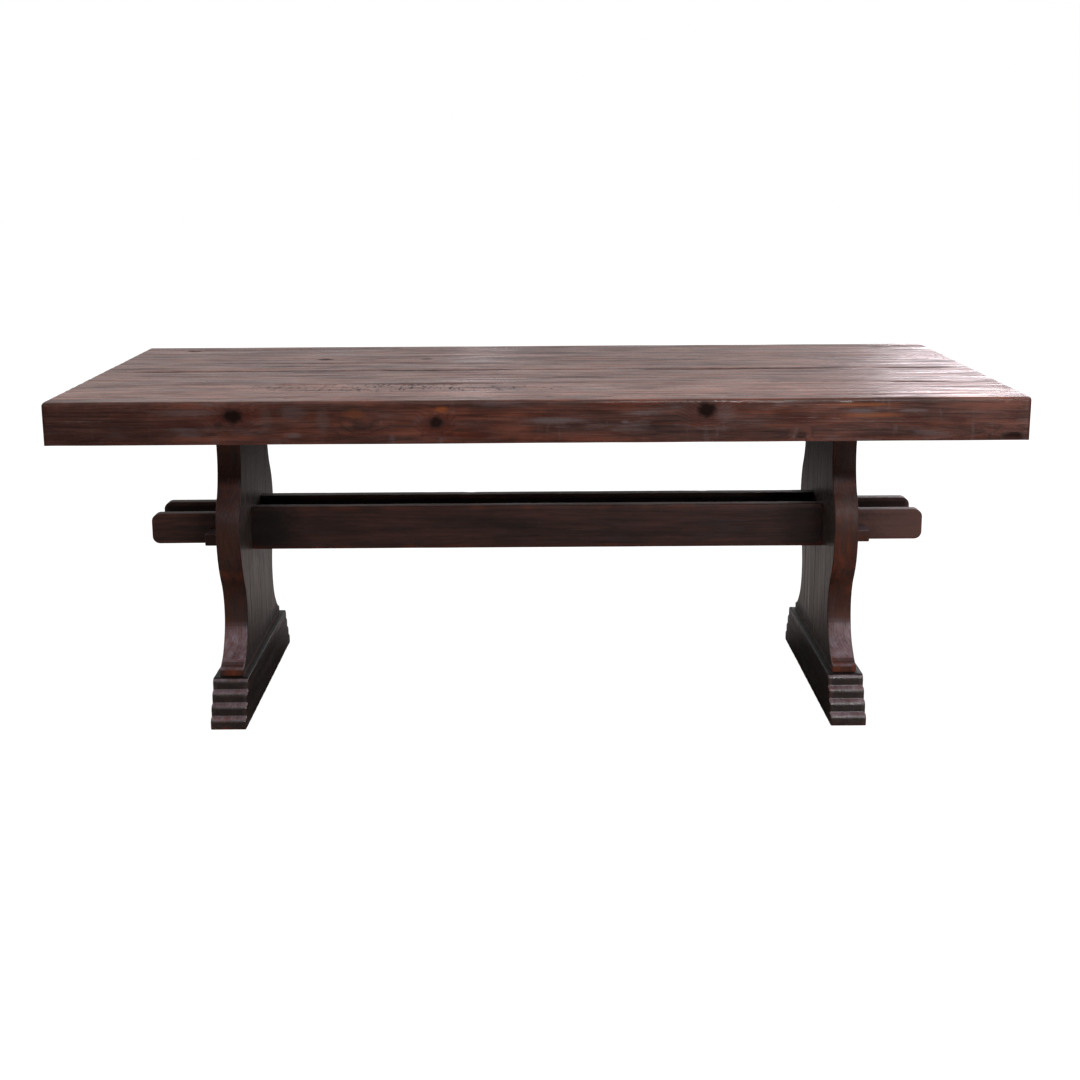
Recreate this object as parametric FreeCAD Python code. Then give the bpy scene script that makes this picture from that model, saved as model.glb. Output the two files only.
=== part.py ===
"""Trestle dining table: a thick planked top on two vase-shaped trestles, tied by keyed twin rails.

Millimetres, +Z up, X along the table, -Y towards the front, origin on the floor under the middle.
Each physical piece is a solid of its own and is written to parts/NODE.step.
"""
import FreeCAD, Part
import math
import os

Vector = FreeCAD.Vector

# --- Table ------------------------------------------------------------------------------------
table_height = 762.0
top_length = 2032.0
top_width = 1016.0
top_thickness = 90.0
trestle_inset = 322.0             # from each end of the top to the middle of a trestle

# --- Top: planks between full-height edge boards, boxed out at the ends ---------------------------
plank_thickness = 32.0
inner_plank_width = 246.0         # the outer planks take what is left
edge_board_thickness = 50.0
end_board_thickness = 45.0
top_arris_radius = 7.0            # worn round outer arrises of the top
seam_ease = 1.5                   # chamfer on each plank beside a seam
middle_seam_ease = 3.5            # the middle seam is the most worn one
tongue_width = 20.0
tongue_thickness = 6.0
tongue_end_cover = 40.0           # the tongues stop short of the ends
corner_dowel_radius = 5.0
corner_dowel_spacing = 26.0
corner_dowel_depth = 30.0         # into the end board
corner_dowel_cover = 15.0         # wood left outside the dowel in the edge board

# --- Battens and bearers under the planks ---------------------------------------------------------
batten_width = 90.0
batten_thickness = 35.0
batten_spacing = 350.0
batten_end_gap = 4.0              # room for the planks to move across the grain
bearer_width = 120.0
bearer_end_gap = 58.0
bearer_screw_offset = 43.0        # from the bearer's middle line, clear of the panel below
screw_radius = 3.0
screw_head_radius = 6.0
screw_head_height = 4.0
screw_tip_cover = 10.0            # wood left above the screw's tip
screw_tip_length = 8.0

# --- Trestle panel: vase outline, as half-widths at heights -----------------------------------
panel_thickness = 54.0
inner_stave_width = 140.0         # the two middle staves hold the rail mortises
stave_groove = 1.2                # open V at each glue line
panel_arris_chamfer = 2.0
base_half_width = 277.0
base_fillet_height = 16.0         # upright fillet at the panel's foot
waist_half_width = 191.5
waist_above_foot = 131.0
belly_half_width = 249.0
belly_height = 415.0
neck_half_width = 191.0
neck_below_top = 82.0
head_half_width = 215.0
belly_share_below = 0.61          # share of the lower reverse curve's radii that the belly takes
belly_share_above = 0.49

# --- Tenons that hold the panel between the foot and the bearer -----------------------------------
tenon_thickness = 24.0
tenon_inset = 20.0                # tenon's shoulder at each side of a stave
foot_tenon_depth = 45.0
head_tenon_depth = 36.0
peg_radius = 6.0

# --- Sled foot with stepped, nosed ends -----------------------------------------------------------
foot_width = 80.0
foot_length = 696.0
foot_height = 104.0
step_count = 4
step_setback = 16.0
nosing_radius = 11.5
cove_radius = 2.5
foot_arris_chamfer = 2.5
lag_radius = 5.0
lag_into_panel = 60.0
lag_head_flats = 17.0
lag_head_height = 7.0
lag_washer_radius = 13.0
lag_washer_thickness = 2.5
lag_counterbore_depth = 40.0
lag_counterbore_radius = 15.0

# --- Twin rails with shouldered through tenons ----------------------------------------------------
rail_thickness = 35.0
rail_height = 100.0
rail_projection = 179.0           # beyond the outer face of each panel
rail_centre_height = 404.0
rail_spacing = 140.0              # between the middles of the two rails
rail_tenon_height = 70.0
rail_end_radius = 17.0
rail_arris_chamfer = 2.0

# --- Tapered locking keys ---------------------------------------------------------------------
key_front_width = 45.0            # driven in from the front, so the front end is the wide one
key_back_width = 39.0
key_height = 28.0
key_projection = 59.0             # beyond the outer face of each rail
key_floor = 7.0                   # wood under the key's mortise
key_relief = 3.0                  # the mortise starts inside the panel, so the key pulls the shoulder up
key_arris_chamfer = 2.5

# --- Fits -------------------------------------------------------------------------------------
joint_clearance = 0.2             # glued and screwed joints
key_clearance = 0.3               # round a key, which is drawn out by hand

# --- Places worked out from the sizes above -------------------------------------------------------
half_length = top_length / 2
half_width = top_width / 2
top_underside = table_height - top_thickness
plank_underside = table_height - plank_thickness
inner_half_width = half_width - edge_board_thickness
trestle_x = half_length - trestle_inset
panel_inner_x = trestle_x - panel_thickness / 2
panel_outer_x = trestle_x + panel_thickness / 2
rail_y = rail_spacing / 2
rail_end_x = panel_outer_x + rail_projection
batten_places = (-batten_spacing, 0.0, batten_spacing)
outer_plank_middle = (inner_plank_width + inner_half_width) / 2
plank_middles = (-outer_plank_middle, -inner_plank_width / 2, inner_plank_width / 2, outer_plank_middle)
stave_middles = (-inner_stave_width / 2, inner_stave_width / 2)
lag_y = (inner_stave_width + waist_half_width) / 2
lag_washer_top = lag_counterbore_depth
lag_head_top = lag_washer_top - lag_washer_thickness
key_length = rail_spacing + rail_thickness + 2 * key_projection
key_bottom = rail_centre_height - rail_tenon_height / 2 + key_floor
key_inner_x = panel_outer_x + key_clearance

SIDES = {"left": -1, "right": 1}


# --- Shapes used all over -------------------------------------------------------------------------
def block(xs, ys, zs):
    """Box between two values along each axis, given in either order."""
    low = Vector(min(xs), min(ys), min(zs))
    return Part.makeBox(abs(xs[1] - xs[0]), abs(ys[1] - ys[0]), abs(zs[1] - zs[0]), low)


def cut_all(shape, cutters):
    """Shape with every cutter taken away."""
    return shape.cut(list(cutters)) if cutters else shape


def prism(edges, direction):
    """Solid swept in a straight line from a closed flat outline."""
    return Part.Face(Part.Wire(edges)).extrude(direction)


def polygon(points):
    """Edges of a closed polygon."""
    closed = list(points) + [points[0]]
    return Part.makePolygon(closed).Edges


def rod(radius, start, end):
    """Cylinder from one point to another."""
    along = end - start
    return Part.makeCylinder(radius, along.Length, start, along)


def arris_cutter(corner, inward_a, inward_b, run, radius):
    """What a round arris takes off: a square strip along run, less the quarter round that stays."""
    centre = corner + inward_a * radius + inward_b * radius
    strip = prism(polygon([corner, corner + inward_a * radius, centre, corner + inward_b * radius]), run)
    return strip.cut(Part.makeCylinder(radius, run.Length, centre, run))


def joined(shapes):
    """One shape that holds separate solids."""
    return Part.makeCompound(list(shapes))


# --- The top ----------------------------------------------------------------------------------
def top_arris_cutters():
    """Rounding of the top's outer arrises: along both sides, over both ends and down the corners."""
    cutters = []
    down = Vector(0, 0, -1)
    for side in (-1, 1):
        along_x = Vector(top_length, 0, 0)
        side_corner = Vector(-half_length, side * half_width, table_height)
        inward_y = Vector(0, -side, 0)
        cutters.append(arris_cutter(side_corner, inward_y, down, along_x, top_arris_radius))
        along_y = Vector(0, top_width, 0)
        end_corner = Vector(side * half_length, -half_width, table_height)
        inward_x = Vector(-side, 0, 0)
        cutters.append(arris_cutter(end_corner, inward_x, down, along_y, top_arris_radius))
        for front in (-1, 1):
            foot = Vector(side * half_length, front * half_width, top_underside)
            up = Vector(0, 0, top_thickness)
            cutters.append(arris_cutter(foot, inward_x, Vector(0, -front, 0), up, top_arris_radius))
    return cutters


def tongue(seam_y, clearance=0.0):
    """Loose tongue across a seam, or the groove that takes it when it is given a clearance."""
    reach = half_length - tongue_end_cover + clearance
    half = tongue_width / 2 + clearance
    middle = table_height - plank_thickness / 2
    rise = tongue_thickness / 2 + clearance
    return block((-reach, reach), (seam_y - half, seam_y + half), (middle - rise, middle + rise))


def seam_places():
    """Y of the five long seams."""
    return (-inner_half_width, -inner_plank_width, 0.0, inner_plank_width, inner_half_width)


def screw(x, y, bottom, clearance=0.0):
    """Countersunk wood screw driven upwards, or its hole when it is given a clearance."""
    radius = screw_radius + clearance
    tip = table_height - screw_tip_cover + clearance
    neck = bottom + screw_head_height
    taper = tip - screw_tip_length
    outline = [
        Vector(0, 0, bottom),
        Vector(screw_head_radius + clearance, 0, bottom),
        Vector(radius, 0, neck),
        Vector(radius, 0, taper),
        Vector(0, 0, tip),
    ]
    shape = Part.Face(Part.Wire(polygon(outline))).revolve(Vector(0, 0, 0), Vector(0, 0, 1), 360)
    shape.translate(Vector(x, y, 0))
    return shape


def bearer_screw_places():
    """X, Y of the screws through the two bearers, one to a plank, staggered about the panel."""
    places = []
    for side in SIDES.values():
        for number, y in enumerate(plank_middles):
            stagger = bearer_screw_offset if number % 2 else -bearer_screw_offset
            places.append((side * trestle_x + stagger, y))
    return places


def batten_screw_places():
    """X, Y of the screws through the battens, one to a plank."""
    return [(x, y) for x in batten_places for y in plank_middles]


def bearer_screws(clearance=0.0):
    """Every screw of the bearers, or their holes."""
    return [screw(x, y, top_underside, clearance) for x, y in bearer_screw_places()]


def batten_screws(clearance=0.0):
    """Every screw of the battens, or their holes."""
    bottom = plank_underside - batten_thickness
    return [screw(x, y, bottom, clearance) for x, y in batten_screw_places()]


def plank(y_low, y_high, ease_low, ease_high):
    """Top plank with its two eased arrises, grooved edges and screw holes."""
    section = polygon([
        Vector(-half_length, y_low, plank_underside),
        Vector(-half_length, y_high, plank_underside),
        Vector(-half_length, y_high, table_height - ease_high),
        Vector(-half_length, y_high - ease_high, table_height),
        Vector(-half_length, y_low + ease_low, table_height),
        Vector(-half_length, y_low, table_height - ease_low),
    ])
    board = prism(section, Vector(top_length, 0, 0))
    cutters = top_arris_cutters()
    cutters += [tongue(y, joint_clearance) for y in seam_places() if y_low <= y <= y_high]
    holes = bearer_screws(joint_clearance) + batten_screws(joint_clearance)
    cutters += [hole for hole in holes if y_low < hole.BoundBox.Center.y < y_high]
    return cut_all(board, cutters)


def planks():
    """The four planks by name, from the front to the back."""
    seams = seam_places()
    eases = (seam_ease, seam_ease, middle_seam_ease, seam_ease, seam_ease)
    names = ("front_plank", "front_middle_plank", "back_middle_plank", "back_plank")
    return {
        name: plank(seams[i], seams[i + 1], eases[i], eases[i + 1])
        for i, name in enumerate(names)
    }


def corner_dowels(clearance=0.0):
    """Dowels between the end boards and the edge boards, or their holes."""
    dowels = []
    middle = (top_underside + plank_underside) / 2
    for end in SIDES.values():
        x = end * (half_length - end_board_thickness / 2)
        for front in (-1, 1):
            inner = front * (inner_half_width - corner_dowel_depth - clearance)
            outer = front * (half_width - corner_dowel_cover + clearance)
            for step in (-0.5, 0.5):
                z = middle + step * corner_dowel_spacing
                radius = corner_dowel_radius + clearance
                dowels.append(rod(radius, Vector(x, inner, z), Vector(x, outer, z)))
    return dowels


def edge_board(front):
    """Full-height board that closes the front or the back of the top."""
    inner = front * inner_half_width
    outer = front * half_width
    board = block((-half_length, half_length), (inner, outer), (top_underside, table_height))
    cutters = top_arris_cutters() + [tongue(inner, joint_clearance)] + corner_dowels(joint_clearance)
    return cut_all(board, cutters)


def end_board(side):
    """Board under the plank ends, flush with them, between the edge boards."""
    outer = side * half_length
    inner = side * (half_length - end_board_thickness)
    ys = (-inner_half_width, inner_half_width)
    board = block((inner, outer), ys, (top_underside, plank_underside))
    return cut_all(board, corner_dowels(joint_clearance))


def batten(x):
    """Cross batten screwed up into the planks."""
    reach = inner_half_width - batten_end_gap
    xs = (x - batten_width / 2, x + batten_width / 2)
    board = block(xs, (-reach, reach), (plank_underside - batten_thickness, plank_underside))
    return cut_all(board, batten_screws(joint_clearance))


# --- Trestle panels -------------------------------------------------------------------------------
def arc(centre, start, end):
    """Shorter arc about a centre, through the middle of the turn from start to end."""
    radius = (start - centre).Length
    bisector = (start - centre).normalize() + (end - centre).normalize()
    return Part.Arc(start, centre + bisector.normalize() * radius, end).toShape()


def reverse_curve(start, end, end_share):
    """Two tangent arcs between two upright tangents; end_share of the radii belongs to the second."""
    across = end.y - start.y
    rise = end.z - start.z
    radii = (rise * rise + across * across) / (2 * abs(across))
    towards = math.copysign(1, across)
    start_centre = start + Vector(0, towards * radii * (1 - end_share), 0)
    end_centre = end - Vector(0, towards * radii * end_share, 0)
    meeting = start_centre + (end_centre - start_centre) * (1 - end_share)
    return [arc(start_centre, start, meeting), arc(end_centre, meeting, end)]


def hollow_curve(upright, other):
    """One hollow arc that is upright at the first point and passes through the other one."""
    across = other.y - upright.y
    rise = other.z - upright.z
    radius = (rise * rise + across * across) / (2 * across)
    return arc(upright + Vector(0, radius, 0), upright, other)


def panel_side():
    """Edges of the panel's back side, from its base to its head, at X = 0."""
    base = Vector(0, base_half_width, foot_height)
    fillet = Vector(0, base_half_width, foot_height + base_fillet_height)
    waist = Vector(0, waist_half_width, foot_height + waist_above_foot)
    belly = Vector(0, belly_half_width, belly_height)
    neck = Vector(0, neck_half_width, top_underside - neck_below_top)
    head = Vector(0, head_half_width, top_underside)
    edges = [Part.makeLine(base, fillet), hollow_curve(waist, fillet)]
    edges += reverse_curve(waist, belly, belly_share_below)
    edges += reverse_curve(belly, neck, 1 - belly_share_above)
    edges.append(hollow_curve(neck, head))
    return edges


def vase_panel():
    """The panel in one piece, with eased arrises, its middle plane at X = 0."""
    back = panel_side()
    front = [edge.mirror(Vector(0, 0, 0), Vector(0, 1, 0)) for edge in back]
    base_end = Vector(0, base_half_width, foot_height)
    head_end = Vector(0, head_half_width, top_underside)
    base = Part.makeLine(Vector(0, -base_half_width, foot_height), base_end)
    head = Part.makeLine(Vector(0, -head_half_width, top_underside), head_end)
    outline = Part.Wire(Part.__sortEdges__(back + front + [base, head]))
    panel = Part.Face(outline).extrude(Vector(panel_thickness, 0, 0))
    panel.translate(Vector(-panel_thickness / 2, 0, 0))
    sides = [edge for edge in panel.Edges if lies_on_a_face(edge) and not is_level(edge)]
    return panel.makeChamfer(panel_arris_chamfer, sides)


def lies_on_a_face(edge):
    """Whether an edge of the panel lies on one of its two broad faces."""
    box = edge.BoundBox
    return box.XLength < joint_clearance


def is_level(edge):
    """Whether an edge is the panel's base or head line."""
    return edge.BoundBox.ZLength < joint_clearance


def stave_grooves():
    """Open V along each glue line of the panel, on both faces."""
    height = Vector(0, 0, top_underside - foot_height)
    grooves = []
    for y in (-inner_stave_width, 0.0, inner_stave_width):
        for face in (-1, 1):
            x = face * panel_thickness / 2
            triangle = polygon([
                Vector(x, y - stave_groove, foot_height),
                Vector(x, y + stave_groove, foot_height),
                Vector(x - face * stave_groove, y, foot_height),
            ])
            grooves.append(prism(triangle, height))
    return grooves


def rail_mortises():
    """Openings for the two rails' tenons, right through the panel."""
    half = rail_thickness / 2 + joint_clearance
    rise = rail_tenon_height / 2 + joint_clearance
    zs = (rail_centre_height - rise, rail_centre_height + rise)
    xs = (-panel_thickness, panel_thickness)
    return [block(xs, (y - half, y + half), zs) for y in (-rail_y, rail_y)]


def stave_tenons(clearance=0.0):
    """Foot and head tenons of the middle staves, or their mortises."""
    half = tenon_thickness / 2 + clearance
    tenons = []
    for middle in stave_middles:
        reach = inner_stave_width / 2 - tenon_inset + clearance
        ys = (middle - reach, middle + reach)
        foot_end = foot_height - foot_tenon_depth - clearance
        head_end = top_underside + head_tenon_depth + clearance
        tenons.append(block((-half, half), ys, (foot_end, foot_height)))
        tenons.append(block((-half, half), ys, (top_underside, head_end)))
    return tenons


def pegs(clearance=0.0):
    """Pegs through the bearer and the head tenons, or their holes."""
    z = top_underside + head_tenon_depth / 2
    reach = bearer_width / 2
    return [
        rod(peg_radius + clearance, Vector(-reach, y, z), Vector(reach, y, z))
        for y in stave_middles
    ]


def lag_holes():
    """Holes for the lag screws, through the foot and up into the outer staves."""
    holes = []
    for y in (-lag_y, lag_y):
        tip = foot_height + lag_into_panel + joint_clearance
        holes.append(rod(lag_radius + joint_clearance, Vector(0, y, 0), Vector(0, y, tip)))
        holes.append(rod(lag_counterbore_radius, Vector(0, y, 0), Vector(0, y, lag_counterbore_depth)))
    return holes


def staves():
    """The four staves by name, from the front to the back, with their tenons and mortises."""
    panel = vase_panel()
    panel = cut_all(panel, stave_grooves() + rail_mortises() + lag_holes())
    width = max(base_half_width, belly_half_width, head_half_width)
    bounds = (-width, -inner_stave_width, 0.0, inner_stave_width, width)
    names = ("front_outer_stave", "front_inner_stave", "back_inner_stave", "back_outer_stave")
    shapes = {}
    for number, name in enumerate(names):
        ys = (bounds[number], bounds[number + 1])
        stave = panel.common(block((-panel_thickness, panel_thickness), ys, (0, table_height)))
        own = [tenon for tenon in stave_tenons() if ys[0] < tenon.BoundBox.Center.y < ys[1]]
        if own:
            stave = cut_all(stave.fuse(own).removeSplitter(), pegs(joint_clearance))
        shapes[name] = stave
    return shapes


# --- Bearer and foot of a trestle -----------------------------------------------------------------
def bearer():
    """Bearer over the panel's head, let in between the end and edge boards."""
    reach = inner_half_width - bearer_end_gap
    xs = (-bearer_width / 2, bearer_width / 2)
    board = block(xs, (-reach, reach), (top_underside, plank_underside))
    return cut_all(board, stave_tenons(joint_clearance) + pegs(joint_clearance))


def stepped_end():
    """Edges of the foot's back end at X = 0, from the floor to its top: noses with coves between."""
    rise = foot_height / step_count
    edges = []
    start = Vector(0, foot_length / 2, 0)
    for step in range(step_count):
        riser = foot_length / 2 - step * step_setback
        tread = (step + 1) * rise
        nose_low = Vector(0, riser, tread - nosing_radius)
        nose_high = Vector(0, riser - nosing_radius, tread)
        edges.append(Part.makeLine(start, nose_low))
        edges.append(arc(Vector(0, riser - nosing_radius, tread - nosing_radius), nose_low, nose_high))
        start = nose_high
        if step + 1 < step_count:
            cove_foot = Vector(0, riser - step_setback + cove_radius, tread)
            cove_head = Vector(0, riser - step_setback, tread + cove_radius)
            edges.append(Part.makeLine(nose_high, cove_foot))
            edges.append(arc(Vector(0, cove_foot.y, cove_head.z), cove_foot, cove_head))
            start = cove_head
    return edges


def foot():
    """Sled foot with stepped ends, mortised for the panel and bored for its lag screws."""
    back = stepped_end()
    front = [edge.mirror(Vector(0, 0, 0), Vector(0, 1, 0)) for edge in back]
    top_reach = foot_length / 2 - (step_count - 1) * step_setback - nosing_radius
    top = Part.makeLine(Vector(0, -top_reach, foot_height), Vector(0, top_reach, foot_height))
    sole = Part.makeLine(Vector(0, -foot_length / 2, 0), Vector(0, foot_length / 2, 0))
    outline = Part.Wire(Part.__sortEdges__(back + front + [top, sole]))
    body = Part.Face(outline).extrude(Vector(foot_width, 0, 0))
    body.translate(Vector(-foot_width / 2, 0, 0))
    long_arrises = [edge for edge in body.Edges if edge.BoundBox.YLength > 2 * base_half_width]
    body = body.makeChamfer(foot_arris_chamfer, long_arrises)
    return cut_all(body, stave_tenons(joint_clearance) + lag_holes())


def hexagon_head(centre_y):
    """Head of a lag screw, under its washer."""
    corner = lag_head_flats / math.sqrt(3)
    points = []
    for turn in range(0, 360, 60):
        x = corner * math.cos(math.radians(turn))
        y = centre_y + corner * math.sin(math.radians(turn))
        points.append(Vector(x, y, lag_head_top - lag_head_height))
    return prism(polygon(points), Vector(0, 0, lag_head_height))


def lag_screws():
    """The two lag screws of a trestle."""
    screws = []
    for y in (-lag_y, lag_y):
        shank = rod(lag_radius, Vector(0, y, lag_head_top), Vector(0, y, foot_height + lag_into_panel))
        screws.append(hexagon_head(y).fuse(shank))
    return screws


def lag_washers():
    """The washers between the lag screws' heads and the foot."""
    washers = []
    for y in (-lag_y, lag_y):
        low = Vector(0, y, lag_head_top)
        high = Vector(0, y, lag_washer_top)
        hole = rod(lag_radius + joint_clearance, low, high)
        washers.append(rod(lag_washer_radius, low, high).cut(hole))
    return washers


# --- Rails and keys -------------------------------------------------------------------------------
def key_outline(side, outer_gap, inner_gap, end_reach):
    """Plan of a key at the height of its underside, or of its mortise when it is given gaps."""
    slope = (key_back_width - key_front_width) / key_length
    inner = key_inner_x - inner_gap
    points = []
    for y in (-end_reach, end_reach):
        width = key_front_width + slope * (y + key_length / 2)
        points.append((inner, key_inner_x + width + outer_gap, y))
    (inner_front, outer_front, front), (inner_back, outer_back, back) = points
    plan = [(inner_front, front), (outer_front, front), (outer_back, back), (inner_back, back)]
    return [Vector(side * x, y, key_bottom) for x, y in plan]


def key(side):
    """Tapered key that locks both rails outside a trestle."""
    plan = key_outline(side, 0.0, 0.0, key_length / 2)
    bar = prism(polygon(plan), Vector(0, 0, key_height))
    return bar.makeChamfer(key_arris_chamfer, bar.Edges)


def key_mortise(side):
    """What the key's mortise takes out of the rails."""
    plan = key_outline(side, key_clearance, key_clearance + key_relief, key_length / 2)
    mortise = prism(polygon(plan), Vector(0, 0, key_height + 2 * key_clearance))
    mortise.translate(Vector(0, 0, -key_clearance))
    return mortise


def rail_outline():
    """Edges of a rail's broad face: deep between the shoulders, with round-cornered tenons."""
    rise = rail_height / 2
    tenon_rise = rail_tenon_height / 2
    straight = rail_end_x - rail_end_radius
    flat = tenon_rise - rail_end_radius
    edges = []
    for side in (-1, 1):
        shoulder = side * panel_inner_x
        for up in (-1, 1):
            outer = Vector(shoulder, 0, up * rise)
            inner = Vector(shoulder, 0, up * tenon_rise)
            corner_start = Vector(side * straight, 0, up * tenon_rise)
            corner_end = Vector(side * rail_end_x, 0, up * flat)
            edges.append(Part.makeLine(outer, inner))
            edges.append(Part.makeLine(inner, corner_start))
            edges.append(arc(Vector(side * straight, 0, up * flat), corner_start, corner_end))
        low_corner = Vector(side * rail_end_x, 0, -flat)
        edges.append(Part.makeLine(low_corner, Vector(side * rail_end_x, 0, flat)))
    for up in (-1, 1):
        left_corner = Vector(-panel_inner_x, 0, up * rise)
        edges.append(Part.makeLine(left_corner, Vector(panel_inner_x, 0, up * rise)))
    return Part.__sortEdges__(edges)


def rail(y):
    """Rail with a shouldered tenon at each end, mortised for the keys."""
    body = prism(rail_outline(), Vector(0, rail_thickness, 0))
    body.translate(Vector(0, y - rail_thickness / 2, rail_centre_height))
    arrises = [edge for edge in body.Edges if edge.BoundBox.XLength > panel_thickness]
    body = body.makeChamfer(rail_arris_chamfer, arrises)
    return cut_all(body, [key_mortise(side) for side in SIDES.values()])


# --- Assembly -------------------------------------------------------------------------------------
def at_trestle(shape, side):
    """Copy of a trestle piece at the left or the right trestle."""
    placed = shape.copy()
    placed.translate(Vector(side * trestle_x, 0, 0))
    return placed


def build():
    """Every piece of the table by its node name."""
    pieces = dict(planks())
    pieces["front_edge_board"] = edge_board(-1)
    pieces["back_edge_board"] = edge_board(1)
    pieces["plank_tongues"] = joined(tongue(y) for y in seam_places())
    pieces["corner_dowels"] = joined(corner_dowels())
    for name, x in zip(("left_batten", "middle_batten", "right_batten"), batten_places):
        pieces[name] = batten(x)
    pieces["batten_screws"] = joined(batten_screws())
    pieces["bearer_screws"] = joined(bearer_screws())
    pieces["front_rail"] = rail(-rail_y)
    pieces["back_rail"] = rail(rail_y)
    trestle = staves()
    trestle["foot"] = foot()
    blank_bearer = bearer()
    hardware = {"bearer_pegs": pegs(), "lag_screws": lag_screws(), "lag_washers": lag_washers()}
    for side_name, side in SIDES.items():
        pieces[side_name + "_end_board"] = end_board(side)
        placed = at_trestle(blank_bearer, side)
        pieces[side_name + "_bearer"] = cut_all(placed, bearer_screws(joint_clearance))
        pieces[side_name + "_key"] = key(side)
        for name, shape in trestle.items():
            pieces[side_name + "_" + name] = at_trestle(shape, side)
    for name, shapes in hardware.items():
        sides = SIDES.values()
        pieces[name] = joined(at_trestle(shape, side) for side in sides for shape in shapes)
    return pieces


def main():
    """Write every piece to its STEP file."""
    os.makedirs("parts", exist_ok=True)
    for name, shape in build().items():
        shape.exportStep(os.path.join("parts", name + ".step"))
        print(name, "solids", len(shape.Solids), "volume", round(shape.Volume), "valid", shape.isValid())


main()
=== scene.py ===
"""Trestle dining table: its worn, stained timbers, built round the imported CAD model.

The sub-assemblies are classes: the top, the trestles, the rails, the keys and the joinery that stays as
the CAD has it. Shapes are drawn in millimetres and end up in metres, in the frame of the CAD.
"""

import logging
import math
from dataclasses import dataclass, replace
from enum import Enum
from typing import Iterable

import bmesh
import bpy
from bpy.types import Material, NodeSocket, Object, ShaderNodeTree
from mathutils import Matrix, Vector, noise

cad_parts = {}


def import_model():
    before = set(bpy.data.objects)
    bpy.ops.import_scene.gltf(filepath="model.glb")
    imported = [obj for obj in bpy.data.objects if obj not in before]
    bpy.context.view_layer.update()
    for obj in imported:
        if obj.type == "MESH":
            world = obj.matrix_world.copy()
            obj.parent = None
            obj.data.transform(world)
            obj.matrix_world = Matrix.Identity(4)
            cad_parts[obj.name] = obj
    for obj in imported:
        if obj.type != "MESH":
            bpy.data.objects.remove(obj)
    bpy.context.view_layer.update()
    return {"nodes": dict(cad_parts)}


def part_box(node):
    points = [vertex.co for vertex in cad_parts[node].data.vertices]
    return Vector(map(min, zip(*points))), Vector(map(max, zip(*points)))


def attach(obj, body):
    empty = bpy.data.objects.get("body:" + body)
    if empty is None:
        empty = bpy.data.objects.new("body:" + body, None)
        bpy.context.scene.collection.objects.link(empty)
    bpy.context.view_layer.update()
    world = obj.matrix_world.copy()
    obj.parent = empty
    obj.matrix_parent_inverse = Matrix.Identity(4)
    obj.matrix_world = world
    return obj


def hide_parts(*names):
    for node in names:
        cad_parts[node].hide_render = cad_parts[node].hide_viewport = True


LOG = logging.getLogger("trestle_table")
MM = 0.001
TOUCH = 0.01  # millimetres within which two places count as one
WEAR = "wear"  # attribute: above 0 the stain is rubbed off, below 0 the wood is darkened by settled dirt and by painted shade
WIPED_AND_SHEEN = "wiped_and_sheen"  # attribute: above 0 wiping has paled the wood, and on the frame grey dust and a painted sheen lie on faces that look up; below 0 grey dust and a painted sheen lie on the sides

Triple = tuple[float, float, float]


class Slot(Enum):
    """Material slots of the record, named for the worn pieces."""

    TOP = "top_timber"
    BASE = "base_timber"


class Grain(Enum):
    """Which way the fibres of a timber run, as the turn that lays them along X."""

    ALONG_X = (0.0, 0.0, 0.0)
    ALONG_Y = (0.0, 0.0, -math.pi / 2)
    ALONG_Z = (0.0, math.pi / 2, 0.0)


# --- Colours and nodes ---
def linear(colour: str) -> tuple[float, float, float, float]:
    """Turn an sRGB hex value into a linear colour.

    Args:
        colour: Six hex digits after a hash.

    Returns:
        Red, green, blue and an alpha of 1.
    """
    parts = [int(colour[place:place + 2], 16) / 255 for place in (1, 3, 5)]
    red, green, blue = (
        part / 12.92 if part <= 0.04045 else ((part + 0.055) / 1.055) ** 2.4 for part in parts
    )
    return red, green, blue, 1.0


def add_node(
    tree: ShaderNodeTree,
    kind: str,
    inputs: dict | None = None,
    out: str | int = 0,
    stops: Iterable[tuple[float, str]] = (),
    **settings: object,
) -> NodeSocket:
    """Add a node, set it up and link it.

    Args:
        tree: The node tree that gets the node.
        kind: Blender's name for the node.
        inputs: Value or source socket for each input that isn't left as it is.
        out: The output to return.
        stops: Positions and hex colours of a colour ramp.
        **settings: The node's own settings.

    Returns:
        The output socket asked for, or the first input of a node without outputs.
    """
    node = tree.nodes.new("ShaderNode" + kind)
    for name, value in settings.items():
        setattr(node, name, value)
    for name, value in (inputs or {}).items():
        if isinstance(value, NodeSocket):
            tree.links.new(value, node.inputs[name])
        else:
            node.inputs[name].default_value = value
    for number, (position, colour) in enumerate(stops):
        elements = node.color_ramp.elements
        element = elements[number] if number < 2 else elements.new(position)
        element.position = position
        element.color = linear(colour)
    return node.outputs[out] if node.outputs else node.inputs[0]


def new_material(name: str) -> tuple[Material, ShaderNodeTree]:
    """Make an empty node material.

    Args:
        name: Its name.

    Returns:
        The material and its node tree.
    """
    material = bpy.data.materials.new(name)
    material.use_nodes = True
    material.node_tree.nodes.clear()
    return material, material.node_tree


def put_in_scene(name: str, data: bpy.types.ID) -> Object:
    """Put a mesh, lamp or camera into the scene as an object of that name."""
    item = bpy.data.objects.new(name, data)
    bpy.context.scene.collection.objects.link(item)
    return item


# --- Finishes ---
@dataclass(frozen=True)
class Spot:
    """A spot on a board: its middle and its half-axes, mm."""

    middle: Triple
    reach: Triple


@dataclass(frozen=True)
class Knot(Spot):
    """A knot, and how dark it is."""

    darkness: float = 1.0


@dataclass(frozen=True)
class Blotch(Spot):
    """A ragged patch of another hue, and its share there."""

    hue: str
    share: float


@dataclass(frozen=True)
class SawMarks(Spot):
    """A patch where the saw's marks cross the grain, and how deep they are."""

    depth: float


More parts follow.
